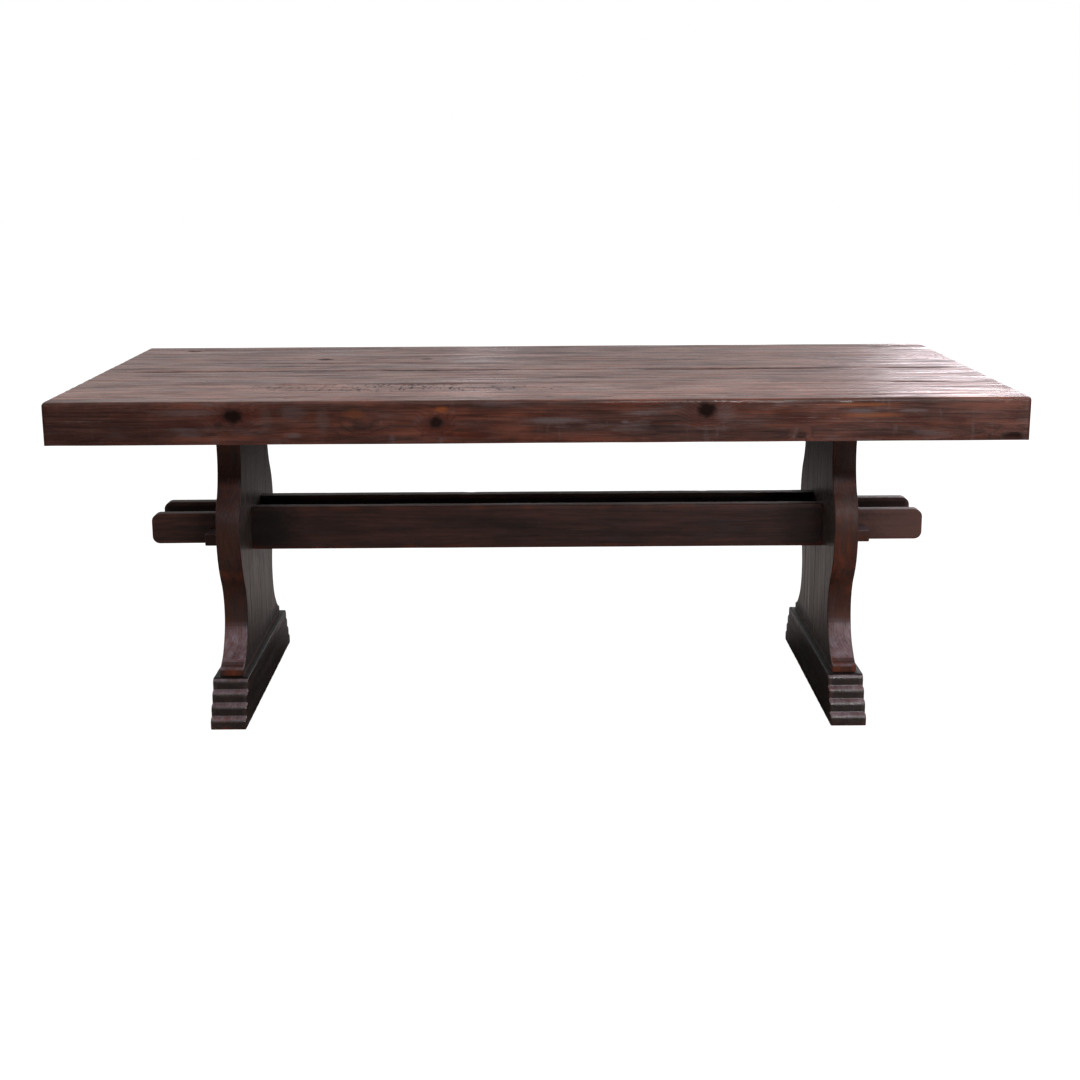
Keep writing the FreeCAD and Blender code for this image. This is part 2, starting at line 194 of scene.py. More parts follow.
@dataclass(frozen=True)
class StainedPine:
    """Reclaimed pine, planed by hand, stained brown and waxed.

    The stain is dark in the soft early wood and in the pores, and gives the eye brown streaks along the
    fibres, near-black knots, grey scuffed patches and a satin gloss that breaks up along the grain.
    """

    name: str
    grain: Grain
    heart: tuple[float, float]  # how far the pith lies across and below the origin, mm
    light: str = "#65392d"  # stain on the hard late wood
    middle: str = "#41241d"
    dark: str = "#21100d"  # stain in the soft early wood and the pores
    wash: str = "#5b4f50"  # grey film where the wax is scuffed
    wash_share: float = 0.3
    planer_wash: float = 0.2  # share of the grey film that lies across the grain
    warm: str = "#6b3116"  # where the stain is thin
    warm_share: float = 0.18
    wiped_and_sheen: tuple[str, str, str] = ("#855041", "#583128", "#1c0c09")  # the stains where wiping paled them; on the frame, grey dust with a painted sheen
    rubbed: str = "#4c2c23"  # where the stain is rubbed off an arris
    rub_share: float = 0.8
    dust_and_sheen: str = "#746964"  # grey dust with a painted sheen on the sides near the floor
    darkening: str = "#0b0605"  # dirt that has settled for good, and the painted shade low on the sides, on the back rail and on the foot
    knot: str = "#190d0a"
    ring_spacing: float = 6.0  # between growth rings, mm
    ring: tuple[tuple[float, str], ...] = (
        (0.0, "#606060"), (0.15, "#101010"), (0.6, "#606060"), (0.88, "#ffffff"), (1.0, "#606060"),
    )  # tones from one ring to the next
    ring_wander: float = 18.0  # how far a ring wanders along the board, mm
    fibre_length: float = 90.0
    fibre_width: float = 1.6  # real fibres are finer, but wouldn't show
    band: Triple = (330.0, 15.0, 15.0)  # size of a broad streak, mm
    mottle: Triple = (36.0, 11.0, 11.0)  # size of a short streak, mm
    cloud: Triple = (170.0, 42.0, 42.0)  # size of a patch that took more stain, mm
    weights: tuple[float, ...] = (0.16, 0.14, 0.3, 0.1, 0.3)  # of rings, fibres, bands, mottle and clouds
    scuff_strength: float = 0.75  # of the scuffed and thinly stained patches
    warm_patch: Triple = (200.0, 18.0, 18.0)
    wash_patch: Triple = (150.0, 34.0, 34.0)
    planed_patch: Triple = (17.0, 70.0, 70.0)  # lies across the grain, where the planer lifted the wax
    saw_mark: Triple = (7.0, 34.0, 34.0)  # real marks are finer, but would flicker
    saw_share: float = 0.4
    polish: Triple = (240.0, 18.0, 18.0)  # size of a streak with more or less gloss, mm
    bend: Triple = (640.0, 210.0, 210.0)  # size of a bend of the growth rings, mm
    ripple: Triple = (200.0, 14.0, 14.0)  # size of a ripple of the growth rings, mm
    ripple_rings: float = 2.2  # how many rings a ripple moves
    ragged: float = 10.0  # size of the tatters at a spot's edge, mm
    shift: float = 0.0  # where along the grain the figure starts, mm
    roughness: tuple[float, float] = (0.14, 0.5)
    pore_share: float = 0.7  # how dull the dark pores are
    edge_dullness: float = 0.0  # how dull the edges are beside the sides that face X
    bare: float = 0.35  # how much rougher a wholly dull place is
    specular: float = 0.34
    bare_specular: float = 0.15  # share of the gloss that a wholly dull place keeps
    wax_ior: float = 1.48
    relief: float = 0.9  # height of the raised late wood, mm
    sawn: tuple[SawMarks, ...] = ()
    knots: tuple[Knot, ...] = ()
    blotches: tuple[Blotch, ...] = ()

    def material(self) -> Material:
        """Build the material for one board."""
        material, tree = new_material("stained_pine." + self.name)
        place = add_node(tree, "TexCoord", out="Object")
        rings, knots = self.figure(tree, place)
        fibres = self.streaks(tree, place, (self.fibre_length, self.fibre_width, self.fibre_width), 2.0)
        bands, mottle, clouds = (
            self.streaks(tree, place, feature, 3.0) for feature in (self.band, self.mottle, self.cloud)
        )
        depth = self.blend(tree, zip((rings, fibres, bands, mottle, clouds), self.weights))
        depth = self.saw(tree, place, depth)
        colour = self.stain(tree, place, depth, fibres)
        colour = self.mix(tree, knots, colour, self.knot)
        wear = add_node(tree, "Attribute", out="Fac", attribute_name=WEAR)
        rubbed = add_node(
            tree, "MapRange", {"Value": wear, "From Min": 0.1, "From Max": 1.0, "To Max": self.rub_share}
        )
        rubbed = add_node(tree, "Math", {0: rubbed, 1: bands}, operation="MULTIPLY", use_clamp=True)
        colour = self.mix(tree, rubbed, colour, self.rubbed)
        # dirt and painted shade, where the wear attribute is below 0
        darkened = add_node(tree, "MapRange", {"Value": wear, "From Min": -0.1, "From Max": -0.6})
        colour = self.mix(tree, darkened, colour, self.darkening)
        dull = add_node(tree, "Math", {0: knots, 1: darkened}, operation="MAXIMUM")
        pores = {"Value": depth, "From Min": 0.4, "From Max": 0.9, "To Max": self.pore_share}
        pores = add_node(tree, "MapRange", pores)
        dull = add_node(tree, "Math", {0: dull, 1: pores}, operation="MAXIMUM")
        height = self.blend(tree, ((rings, 0.3), (fibres, 0.4), (bands, 0.3)))
        self.surface(tree, colour, height, dull, self.streaks(tree, place, self.polish, 3.0))
        return material

    def saw(self, tree: ShaderNodeTree, place: NodeSocket, depth: NodeSocket) -> NodeSocket:
        """Let the stain settle in the saw's marks.

        Args:
            tree: The material's nodes.
            place: The place in object coordinates.
            depth: How much stain the wood took.

        Returns:
            How much stain the wood and the marks took.
        """
        for patch in self.sawn:
            marks = self.patches(tree, place, self.saw_mark, self.saw_share)
            share = self.spot(tree, self.off(tree, place, patch)[1], 1.6, 0.9, patch.depth)
            depth = add_node(tree, "Math", {0: marks, 1: share, 2: depth}, operation="MULTIPLY_ADD")
        return depth

    def stain(
        self, tree: ShaderNodeTree, place: NodeSocket, depth: NodeSocket, fibres: NodeSocket
    ) -> NodeSocket:
        """Colour the wood, with its wiped, thinly stained and scuffed places, its grey dust and its
        painted sheen.

        Args:
            tree: The material's nodes.
            place: The place in object coordinates.
            depth: How much stain the wood took.
            fibres: Fine streaks, which break the patches up.

        Returns:
            The colour.
        """
        stops = ((0.22, self.light), (0.5, self.middle), (0.8, self.dark))
        colour = add_node(tree, "ValToRGB", {"Fac": depth}, stops=stops)
        worn = add_node(tree, "Attribute", out="Fac", attribute_name=WIPED_AND_SHEEN)
        wiped_and_sheen = add_node(tree, "MapRange", {"Value": worn})
        pale = add_node(tree, "ValToRGB", {"Fac": depth}, stops=zip((0.25, 0.5, 0.78), self.wiped_and_sheen))
        colour = add_node(tree, "MixRGB", {"Fac": wiped_and_sheen, "Color1": colour, "Color2": pale})
        for feature, share, hue in (
            (self.warm_patch, self.warm_share, self.warm),
            (self.wash_patch, self.wash_share, self.wash),
            (self.planed_patch, self.planer_wash, self.wash),
        ):
            patch = self.patches(tree, place, feature, share)
            patch = add_node(tree, "Math", {0: patch, 1: fibres}, operation="MULTIPLY", use_clamp=True)
            patch = add_node(tree, "Math", {0: patch, 1: self.scuff_strength}, operation="MULTIPLY")
            colour = self.mix(tree, patch, colour, hue)
        # grey dust and painted sheen on the sides, where the wiped attribute is below 0
        dust_and_sheen_mask = add_node(tree, "MapRange", {"Value": worn, "From Min": 0.0, "From Max": -1.0})
        thin = add_node(
            tree, "MapRange",
            {"Value": depth, "From Min": 0.15, "From Max": 0.85, "To Min": 1.0, "To Max": 0.45},
        )
        dust_and_sheen_mask = add_node(tree, "Math", {0: dust_and_sheen_mask, 1: thin}, operation="MULTIPLY")
        colour = self.mix(tree, dust_and_sheen_mask, colour, self.dust_and_sheen)
        for blotch in self.blotches:
            share = self.spot(tree, self.off(tree, place, blotch)[1], 1.6, 0.7, blotch.share)
            colour = self.mix(tree, share, colour, blotch.hue)
        return colour

    def to_grain(self, tree: ShaderNodeTree, place: NodeSocket, feature: Triple) -> NodeSocket:
        """Turn a place into grain coordinates, counted in features.

        Args:
            tree: The material's nodes.
            place: The place in object coordinates.
            feature: Size of one feature along the grain and across it, mm.

        Returns:
            Coordinates whose X runs with the fibres.
        """
        scale = (1 / MM,) * 3
        turned = add_node(
            tree, "Mapping", {"Vector": place, "Rotation": self.grain.value, "Scale": scale}
        )
        start = (self.shift, -self.heart[0], -self.heart[1])
        shifted = add_node(tree, "VectorMath", {0: turned, 1: start}, operation="ADD")
        scale = tuple(1 / size for size in feature)
        return add_node(tree, "VectorMath", {0: shifted, 1: scale}, operation="MULTIPLY")

    def off(
        self, tree: ShaderNodeTree, place: NodeSocket, spot: Spot
    ) -> tuple[NodeSocket, NodeSocket]:
        """How far a place is from a spot, counted in the spot's half-axes.

        Args:
            tree: The material's nodes.
            place: The place in object coordinates.
            spot: The spot.

        Returns:
            The distance, and the distance with a ragged edge, about 0.35 more.
        """
        middle = tuple(value * MM for value in spot.middle)
        arm = add_node(tree, "VectorMath", {0: place, 1: middle}, operation="SUBTRACT")
        reach = tuple(1 / (MM * value) for value in spot.reach)
        scaled = add_node(tree, "VectorMath", {0: arm, 1: reach}, operation="MULTIPLY")
        distance = add_node(tree, "VectorMath", {0: scaled}, out="Value", operation="LENGTH")
        scale = 1 / (self.ragged * MM)
        edge = add_node(tree, "TexNoise", {"Vector": place, "Scale": scale, "Detail": 3.0})
        return distance, add_node(tree, "Math", {0: edge, 1: 0.7, 2: distance}, operation="MULTIPLY_ADD")

    def figure(self, tree: ShaderNodeTree, place: NodeSocket) -> tuple[NodeSocket, NodeSocket]:
        """Growth rings that wander and flow round the knots, and the knots themselves.

        Args:
            tree: The material's nodes.
            place: The place in object coordinates.

        Returns:
            How far into the late wood the place is, and how far into a knot.
        """
        grain = self.to_grain(tree, place, (1.0, 1.0, 1.0))
        flat = add_node(tree, "VectorMath", {0: grain, 1: (0.0, 1.0, 1.0)}, operation="MULTIPLY")
        radius = add_node(tree, "VectorMath", {0: flat}, out="Value", operation="LENGTH")
        wander = self.grain_noise(tree, place, self.bend, 1.0)
        radius = add_node(
            tree, "Math", {0: wander, 1: 2 * self.ring_wander, 2: radius}, operation="MULTIPLY_ADD"
        )
        knots = add_node(tree, "Value")
        for knot in self.knots:
            distance, ragged = self.off(tree, place, knot)
            core = self.spot(tree, ragged, 1.66, 0.85, knot.darkness)
            push = self.spot(tree, distance, 3.0, 0.2, 1.1 * min(knot.reach))
            radius = add_node(tree, "Math", {0: radius, 1: push}, operation="ADD")
            knots = add_node(tree, "Math", {0: knots, 1: core}, operation="MAXIMUM")
        turns = add_node(tree, "Math", {0: radius, 1: 1 / self.ring_spacing}, operation="MULTIPLY")
        uneven = self.grain_noise(tree, place, self.ripple, 3.0)
        turns = add_node(
            tree, "Math", {0: uneven, 1: self.ripple_rings, 2: turns}, operation="MULTIPLY_ADD"
        )
        phase = add_node(tree, "Math", {0: turns}, operation="FRACT")
        return add_node(tree, "ValToRGB", {"Fac": phase}, stops=self.ring), knots

    def spot(
        self, tree: ShaderNodeTree, distance: NodeSocket, edge: float, core: float, share: float
    ) -> NodeSocket:
        """Fade from 0 at a spot's edge to the given share at its core."""
        return add_node(
            tree, "MapRange", {"Value": distance, "From Min": edge, "From Max": core, "To Max": share},
            interpolation_type="SMOOTHSTEP",
        )

    def grain_noise(
        self, tree: ShaderNodeTree, place: NodeSocket, feature: Triple, detail: float, rough: float = 0.5
    ) -> NodeSocket:
        """Noise in grain coordinates, with features of the given size, mm."""
        vector = self.to_grain(tree, place, feature)
        inputs = {"Vector": vector, "Scale": 1.0, "Detail": detail, "Roughness": rough}
        return add_node(tree, "TexNoise", inputs)

    def streaks(
        self, tree: ShaderNodeTree, place: NodeSocket, feature: Triple, detail: float
    ) -> NodeSocket:
        """Streaks along the fibres, as a value about 0.5 that nearly fills 0 to 1."""
        value = self.grain_noise(tree, place, feature, detail, 0.6)
        return add_node(tree, "MapRange", {"Value": value, "From Min": 0.3, "From Max": 0.7})

    def patches(
        self, tree: ShaderNodeTree, place: NodeSocket, feature: Triple, share: float
    ) -> NodeSocket:
        """Soft patches that cover about the given share of the board."""
        value = self.streaks(tree, place, feature, 4.0)
        low = 0.86 - 0.7 * share
        inputs = {"Value": value, "From Min": low, "From Max": low + 0.4, "To Max": 1.4}
        return add_node(tree, "MapRange", inputs)

    def blend(self, tree: ShaderNodeTree, parts: Iterable[tuple[NodeSocket, float]]) -> NodeSocket:
        """Add values up, each with its weight."""
        total: NodeSocket | float = 0.0
        for value, weight in parts:
            total = add_node(tree, "Math", {0: value, 1: weight, 2: total}, operation="MULTIPLY_ADD")
        return total

    def mix(self, tree: ShaderNodeTree, share: NodeSocket, colour: NodeSocket, hue: str) -> NodeSocket:
        """Lay a hue over a colour where the share is above 0."""
        return add_node(
            tree, "MixRGB", {"Fac": share, "Color1": colour, "Color2": linear(hue)}, use_clamp=True
        )

    def surface(
        self, tree: ShaderNodeTree, colour: NodeSocket, height: NodeSocket, dull: NodeSocket,
        gloss: NodeSocket,
    ) -> None:
        """Satin wax over raised grain.

        Args:
            tree: The material's nodes.
            colour: The wood's colour.
            height: How far the grain stands up.
            dull: Where there is little wax: knots, pores and settled dirt.
            gloss: Streaks along which the wax is more or less polished.
        """
        rough = add_node(
            tree, "MapRange", {"Value": gloss, "To Min": self.roughness[0], "To Max": self.roughness[1]}
        )
        facing = add_node(tree, "TexCoord", out="Normal")
        sideways = add_node(tree, "SeparateXYZ", {"Vector": facing}, out="X")
        sideways = add_node(tree, "Math", {0: sideways}, operation="ABSOLUTE")
        edge = add_node(
            tree, "MapRange",
            {"Value": sideways, "From Min": 0.9, "From Max": 0.6, "To Max": self.edge_dullness},
        )
        dull = add_node(tree, "Math", {0: dull, 1: edge}, operation="MAXIMUM")
        rough = add_node(
            tree, "Math", {0: dull, 1: self.bare, 2: rough}, operation="MULTIPLY_ADD", use_clamp=True
        )
        normal = add_node(tree, "Bump", {"Height": height, "Strength": 1.0, "Distance": self.relief * MM})
        least = self.bare_specular * self.specular
        wax = add_node(tree, "MapRange", {"Value": dull, "To Min": self.specular, "To Max": least})
        shader = add_node(
            tree, "BsdfPrincipled",
            {"Base Color": colour, "Roughness": rough, "Normal": normal, "IOR": self.wax_ior,
             "Specular IOR Level": wax},
        )
        add_node(tree, "OutputMaterial", {"Surface": shader})


@dataclass(frozen=True)
class ZincSteel:
    """Bright zinc on rolled steel: cool grey, with a fine cloudy spangle and a soft gloss."""

    name: str = "zinc_plated_steel"

    def material(self) -> Material:
        """Build the material."""
        material, tree = new_material(self.name)
        place = add_node(tree, "TexCoord", out="Object")
        cloud = add_node(tree, "TexNoise", {"Vector": place, "Scale": 1 / (4 * MM), "Detail": 3.0})
        stops = ((0.35, "#8f9293"), (0.65, "#c3c5c3"))
        colour = add_node(tree, "ValToRGB", {"Fac": cloud}, stops=stops)
        rough = add_node(tree, "MapRange", {"Value": cloud, "To Min": 0.28, "To Max": 0.5})
        shader = add_node(
            tree, "BsdfPrincipled", {"Base Color": colour, "Roughness": rough, "Metallic": 1.0}
        )
        add_node(tree, "OutputMaterial", {"Surface": shader})
        return material


# --- The bench ---
def arc_radius(across: float, rise: float) -> float:
    """Radius of an arc that starts upright and ends that far across and up."""
    return (rise * rise + across * across) / (2 * across)


class Outline:
    """A line drawn on a flat board from point to point, with a straightedge and compasses."""

    def __init__(self, start: Triple) -> None:
        """Put the pencil down.

        Args:
            start: Where the line starts, mm.
        """
        self.mesh = bmesh.new()
        self.tip = self.mesh.verts.new(start)

    def line_to(self, *points: Triple) -> None:
        """Draw straight lines through the points."""
        for point in points:
            self.tip = bmesh.ops.extrude_vert_indiv(self.mesh, verts=[self.tip])["verts"][0]
            self.tip.co = point

    def arc_to(self, end: Triple, centre: Triple, steps: int) -> None:
        """Draw the shorter arc about a centre.

        Args:
            end: Where the arc ends, mm.
            centre: Where the compass point stands, mm.
            steps: How many chords stand for the arc.
        """
        middle = Vector(centre)
        start_arm = self.tip.co - middle
        end_arm = Vector(end) - middle
        swept = bmesh.ops.spin(
            self.mesh, geom=[self.tip], cent=middle, axis=start_arm.cross(end_arm).normalized(),
            angle=start_arm.angle(end_arm), steps=steps, use_merge=False, use_duplicate=False,
        )
        self.tip = next(item for item in swept["geom_last"] if isinstance(item, bmesh.types.BMVert))
        self.tip.co = end

    def reverse_curve_to(self, end: Triple, end_share: float, steps: int) -> None:
        """Draw two tangent arcs in the YZ plane between two upright tangents.

        Args:
            end: Where the second arc ends, mm.
            end_share: Share of the two radii that the second arc takes.
            steps: How many chords stand for each arc.
        """
        start = self.tip.co.copy()
        target = Vector(end)
        across, rise = target.y - start.y, target.z - start.z
        radii = arc_radius(abs(across), rise)
        towards = math.copysign(1, across)
        start_centre = start + Vector((0, towards * radii * (1 - end_share), 0))
        end_centre = target - Vector((0, towards * radii * end_share, 0))
        meeting = start_centre.lerp(end_centre, 1 - end_share)
        self.arc_to(tuple(meeting), tuple(start_centre), steps)
        self.arc_to(end, tuple(end_centre), steps)

    def closed(self) -> "Outline":
        """Close the line with a straight one back to its start."""
        self.mesh.edges.new((self.tip, next(iter(self.mesh.verts))))
        return self

    def mirrored(self, axis: str) -> "Outline":
        """Close the line with its own mirror image across the plane where the axis is 0."""
        geometry = self.mesh.verts[:] + self.mesh.edges[:]
        bmesh.ops.mirror(self.mesh, geom=geometry, matrix=Matrix.Identity(4), merge_dist=TOUCH, axis=axis)
        bmesh.ops.remove_doubles(self.mesh, verts=self.mesh.verts[:], dist=TOUCH)
        return self


@dataclass(frozen=True)
class Hollow:
    """A place on the top that is worn deeper, such as an open stretch of a seam, along the grain, mm."""

    start: float
    end: float
    across: float
    half_width: float
    depth: float
    darkening: float = 1.0
    lowest: float = 725.0  # below this nothing is worn
    run_out: float = 60.0  # length over which its ends fade
    bend: float = 70.0  # length of its bends
    tatter: float = 33.0  # length of the tatters along it

    def share(self, place: Vector) -> float:
        """How deep the hollow is at a place, from 0 to 1."""
        if place.z < self.lowest or not self.start < place.x < self.end:
            return 0.0
        along = min(place.x - self.start, self.end - place.x) / self.run_out
        middle = self.across + 3.0 * noise.noise(Vector((place.x / self.bend, self.across, 0.0)))
        off = abs(place.y - middle) / self.half_width
        if off >= 1.0:
            return 0.0
        ragged = 0.75 + 0.5 * noise.noise(Vector((place.x / self.tatter, self.across, 5.0)))
        return max(0.0, min(1.0, along)) * (1.0 - off) * min(1.0, ragged)


@dataclass(frozen=True)
class Wear:
    """How a timber is worn: depths, heights and sizes in millimetres, shares from 0 to 1."""

    hollow: float = 0.5  # depth of the shallow hollows that planing by hand leaves
    nibble: float = 1.2  # depth of the nicks along the arrises
    hollows: tuple[Hollow, ...] = ()
    looks: Triple = (0.22, 0.38, 2.0)  # a normal's Z where wiping, dust and painted sheen start, are whole and end
    looks_end: float = 0.03  # how fast it ends
    wiped_and_sheen: tuple[Triple, ...] = ()  # from which height to which such faces get wiping, dust and painted sheen, and how much
    dust_and_sheen: Triple = (0.0, 0.0, 1.0)  # share of the grey dust and painted sheen on the sides, its height and its reach
    dust_and_sheen_outside: float = 0.2  # share of the dust and painted sheen that sides away from the middle have
    painted_shade: Triple = (0.0, 1.0, 0.0)  # painted shade low on the sides, how far up it reaches, painted shade on the faces that look along Y
    kicked: float = 0.0  # height below which shoes have rubbed the stain off the ends
    ledge: float = 1000.0  # height above which the surface is always darkened
    glued: tuple[float, ...] = ()  # Y of the faces that are glued to a neighbour, and stay in place
    broad: float = 120.0  # size of a hollow
    fine: float = 30.0  # size of a nick
    scallop: float = 8.0  # the plane's scallops across the grain: a turn is this times 2 pi
    drift: float = 260.0  # size of the bends of the scallops
    side: float = 0.9  # a normal's X from which a face counts as a side
    darkened: float = 0.3  # depth from which a hollow holds dirt

    def paling(self, place: Vector, normal: Vector) -> float:
        """How far wiping, dust and painted sheen have paled a place or, below 0, how much grey dust and
        painted sheen lie on it.

        Args:
            place: The place, mm.
            normal: Which way it looks.

        Returns:
            A value from -1 to 1.
        """
        start, whole, end = self.looks
        paled = min((normal.z - start) / (whole - start), (end - normal.z) / self.looks_end, 1.0)
        share = max((much for low, high, much in self.wiped_and_sheen if low < place.z < high), default=0.0)
        paled = share * max(0.0, paled)
        if abs(normal.x) <= self.side:
            return paled
        dust_and_sheen, height, reach = self.dust_and_sheen
        inward = 1.0 if normal.x * place.x < 0 else self.dust_and_sheen_outside
        return paled - inward * dust_and_sheen * max(0.0, 1.0 - ((place.z - height) / reach) ** 2)

    def rubbing(self, place: Vector, normal: Vector, sill: float, rubbed: float) -> float:
        """How far the stain is rubbed off a place or, below 0, how far it is darkened by settled dirt and
        by painted shade.

        Args:
            place: The place, mm.
            normal: Which way it looks.
            sill: Height of the timber's lower end, mm.
            rubbed: How far the stain is rubbed off because this is an arris.

        Returns:
            A value from -1 to 1.
        """
        low_end, reach, along_y = self.painted_shade
        is_side = abs(normal.x) > self.side
        if is_side:
            rubbed -= low_end * max(0.0, 1.0 - (place.z - sill) / reach)
        if abs(normal.y) > 0.85:
            rubbed -= along_y
        if place.z < (min(self.kicked, sill + 1.0) if is_side else self.kicked):
            rubbed = 0.9
        if place.z > self.ledge:
            rubbed = -0.5
        return rubbed


class Timber:
    """A timber on the bench: a mesh in millimetres and the tools that shape it."""

    upper_depth = 12.0  # how far below its top a timber is nicked, mm
    bore_margin = 3.0  # between a counterbore and the scored cell round it, mm
    bore_sides = 32
    sharp = math.radians(20)  # arrises that turn less than this aren't eased
    worn = math.radians(12)  # nor are those that turn less than this worn
    shaded_sharp = math.radians(32)  # and those that turn more than this look sharp

    def __init__(self, mesh: bmesh.types.BMesh) -> None:
        """Take a mesh on to the bench.

        Args:
            mesh: The mesh to shape, mm.
        """
        self.mesh = mesh

    @classmethod
    def block(cls, low: Vector, high: Vector) -> "Timber":
        """Saw a square block between two corners."""
        mesh = bmesh.new()
        bmesh.ops.create_cube(mesh, size=1.0)
        bmesh.ops.scale(mesh, vec=high - low, verts=mesh.verts)
        bmesh.ops.translate(mesh, vec=(high + low) / 2, verts=mesh.verts)
        return cls(mesh)

    @classmethod
    def cut_out(
        cls, outline: Outline, holes: Iterable[tuple[Triple, Triple]], thickness: Triple
    ) -> "Timber":
        """Saw a timber to an outline.

        Args:
            outline: A closed outline.
            holes: Corners of the square holes through it, mm.
            thickness: Which way the board is thick and by how much, mm.

        Returns:
            The timber, as thick as that.
        """
        mesh = outline.mesh
        bmesh.ops.contextual_create(mesh, geom=mesh.edges[:])
        timber = cls(mesh)
        for low, high in holes:
            timber.pierce(Vector(low), Vector(high))
        extruded = bmesh.ops.extrude_face_region(mesh, geom=mesh.faces[:])["geom"]
        moved = [item for item in extruded if isinstance(item, bmesh.types.BMVert)]
        bmesh.ops.translate(mesh, vec=Vector(thickness), verts=moved)
        bmesh.ops.recalc_face_normals(mesh, faces=mesh.faces[:])
        return timber

    def split(self, axis: int, place: float) -> None:
        """Score a line round the timber in the plane where the axis has that value."""
        point, normal = Vector((0, 0, 0)), Vector((0, 0, 0))
        point[axis], normal[axis] = place, 1.0
        geometry = self.mesh.verts[:] + self.mesh.edges[:] + self.mesh.faces[:]
        bmesh.ops.bisect_plane(
            self.mesh, geom=geometry, dist=TOUCH, plane_co=point, plane_no=normal,
            use_snap_center=False, clear_outer=False, clear_inner=False,
        )

    def pierce(self, low: Vector, high: Vector) -> None:
        """Take a square hole out of a flat outline."""
        axes = [axis for axis in range(3) if high[axis] - low[axis] > TOUCH]
        for axis in axes:
            self.split(axis, low[axis])
            self.split(axis, high[axis])
        inside = [
            face for face in self.mesh.faces
            if all(low[axis] < face.calc_center_median()[axis] < high[axis] for axis in axes)
        ]
        bmesh.ops.delete(self.mesh, geom=inside, context="FACES")

    def edges_in(self, low: Triple, high: Triple) -> list[bmesh.types.BMEdge]:
        """Edges that lie wholly between two corners."""
        return [
            edge for edge in self.mesh.edges
            if all(
                low[axis] - TOUCH <= vert.co[axis] <= high[axis] + TOUCH
                for vert in edge.verts for axis in range(3)
            )
        ]

    def ease(self, edges: list[bmesh.types.BMEdge], width: float, segments: int) -> None:
        """Round sharp arrises.

        Args:
            edges: The arrises.
            width: How far the round reaches from the arris, mm.
            segments: How many flats make the round.
        """
        sharp = [edge for edge in edges if edge.calc_face_angle(0.0) > self.sharp]
        bmesh.ops.bevel(
            self.mesh, geom=sharp, offset=width, offset_type="OFFSET", segments=segments,
            profile=0.5, affect="EDGES", material=-1, clamp_overlap=True,
        )

    def grid(self, axis: int, step: float) -> None:
        """Score lines across the timber about a step apart, for the wear to follow."""
        places = [vert.co[axis] for vert in self.mesh.verts]
        low, high = min(places), max(places)
        count = max(1, round((high - low) / step))
        for number in range(1, count):
            self.split(axis, low + (high - low) * number / count)

    def rungs(self, axis: int, step: float) -> None:
        """Divide the long edges along an axis into equal lengths, about a step each."""
        lengths = {edge: abs(edge.verts[0].co[axis] - edge.verts[1].co[axis]) for edge in self.mesh.edges}
        longest = max(lengths.values())
        edges = [edge for edge, length in lengths.items() if length > 0.9 * longest]
        cuts = round(longest / step) - 1
        bmesh.ops.subdivide_edges(self.mesh, edges=edges, cuts=cuts, use_grid_fill=True)

    def bore(self, centre: Vector, radius: float, depth: float) -> None:
        """Counterbore the face at the bottom, whose cells round the hole are scored already.

        Args:
            centre: Middle of the hole on the face, mm.
            radius: Its radius, mm.
            depth: How far up it goes, mm.
        """
        mesh = self.mesh
        reach = radius + self.bore_margin
        inside = []
        for face in mesh.faces:
            arm = face.calc_center_median() - centre
            if face.normal.z < -0.5 and abs(arm.z) < TOUCH and max(abs(arm.x), abs(arm.y)) < reach:
                inside.append(face)
        bmesh.ops.delete(mesh, geom=inside, context="FACES")
        rim = [edge for edge in mesh.edges if edge.is_boundary]
        circle = bmesh.ops.create_circle(mesh, cap_ends=False, radius=radius, segments=self.bore_sides)
        ring = circle["verts"]
        bmesh.ops.translate(mesh, vec=centre, verts=ring)
        lip = list({edge for vert in ring for edge in vert.link_edges})
        bmesh.ops.bridge_loops(mesh, edges=rim + lip)
        wall = bmesh.ops.extrude_edge_only(mesh, edges=lip)["geom"]
        moved = [item for item in wall if isinstance(item, bmesh.types.BMVert)]
        bmesh.ops.translate(mesh, vec=(0.0, 0.0, depth), verts=moved)
        bottom = [item for item in wall if isinstance(item, bmesh.types.BMEdge)]
        bmesh.ops.contextual_create(mesh, geom=bottom)
        bmesh.ops.recalc_face_normals(mesh, faces=mesh.faces[:])

    def wear_down(self, wear: Wear, seed: float) -> None:
        """Wear the surface, always inwards, and note where it is rubbed, where dirt and painted shade
        darken it, and where wiping, dust and painted sheen pale it.

        Args:
            wear: How it is worn.
            seed: Where in the noise this timber starts.
        """
        verts = self.mesh.verts
        self.mesh.normal_update()
        rubbed = verts.layers.float.new(WEAR)
        wiped_and_sheen = verts.layers.float.new(WIPED_AND_SHEEN)
        crown = max(vert.co.z for vert in verts) - self.upper_depth
        sill = min(vert.co.z for vert in verts)
        start = Vector((seed, -seed, seed / 2))
        moves: list[tuple[bmesh.types.BMVert, Vector]] = []
        for vert in verts:
            turn = max((edge.calc_face_angle(0.0) for edge in vert.link_edges), default=0.0)
            arris = 1.0 if turn > self.worn else 0.0
            broad = noise.noise(vert.co / wear.broad + start)
            fine = noise.noise(vert.co / wear.fine + start)
            nick = wear.nibble * max(0.0, fine) ** 2 * 2 if vert.co.z > crown else 0.0
            wave = vert.co.y / wear.scallop + 3.0 * noise.noise(vert.co / wear.drift + start)
            scallop = 0.5 + 0.5 * math.cos(wave)
            depth = wear.hollow * (max(0.0, broad) + 0.6 * scallop) + arris * nick
            loss = arris * (0.35 + 0.65 * max(0.0, broad + fine))
            vert[rubbed] = wear.rubbing(vert.co, vert.normal, sill, loss)
            vert[wiped_and_sheen] = wear.paling(vert.co, vert.normal)
            for hollow in wear.hollows:
                share = hollow.share(vert.co)
                depth += share * hollow.depth
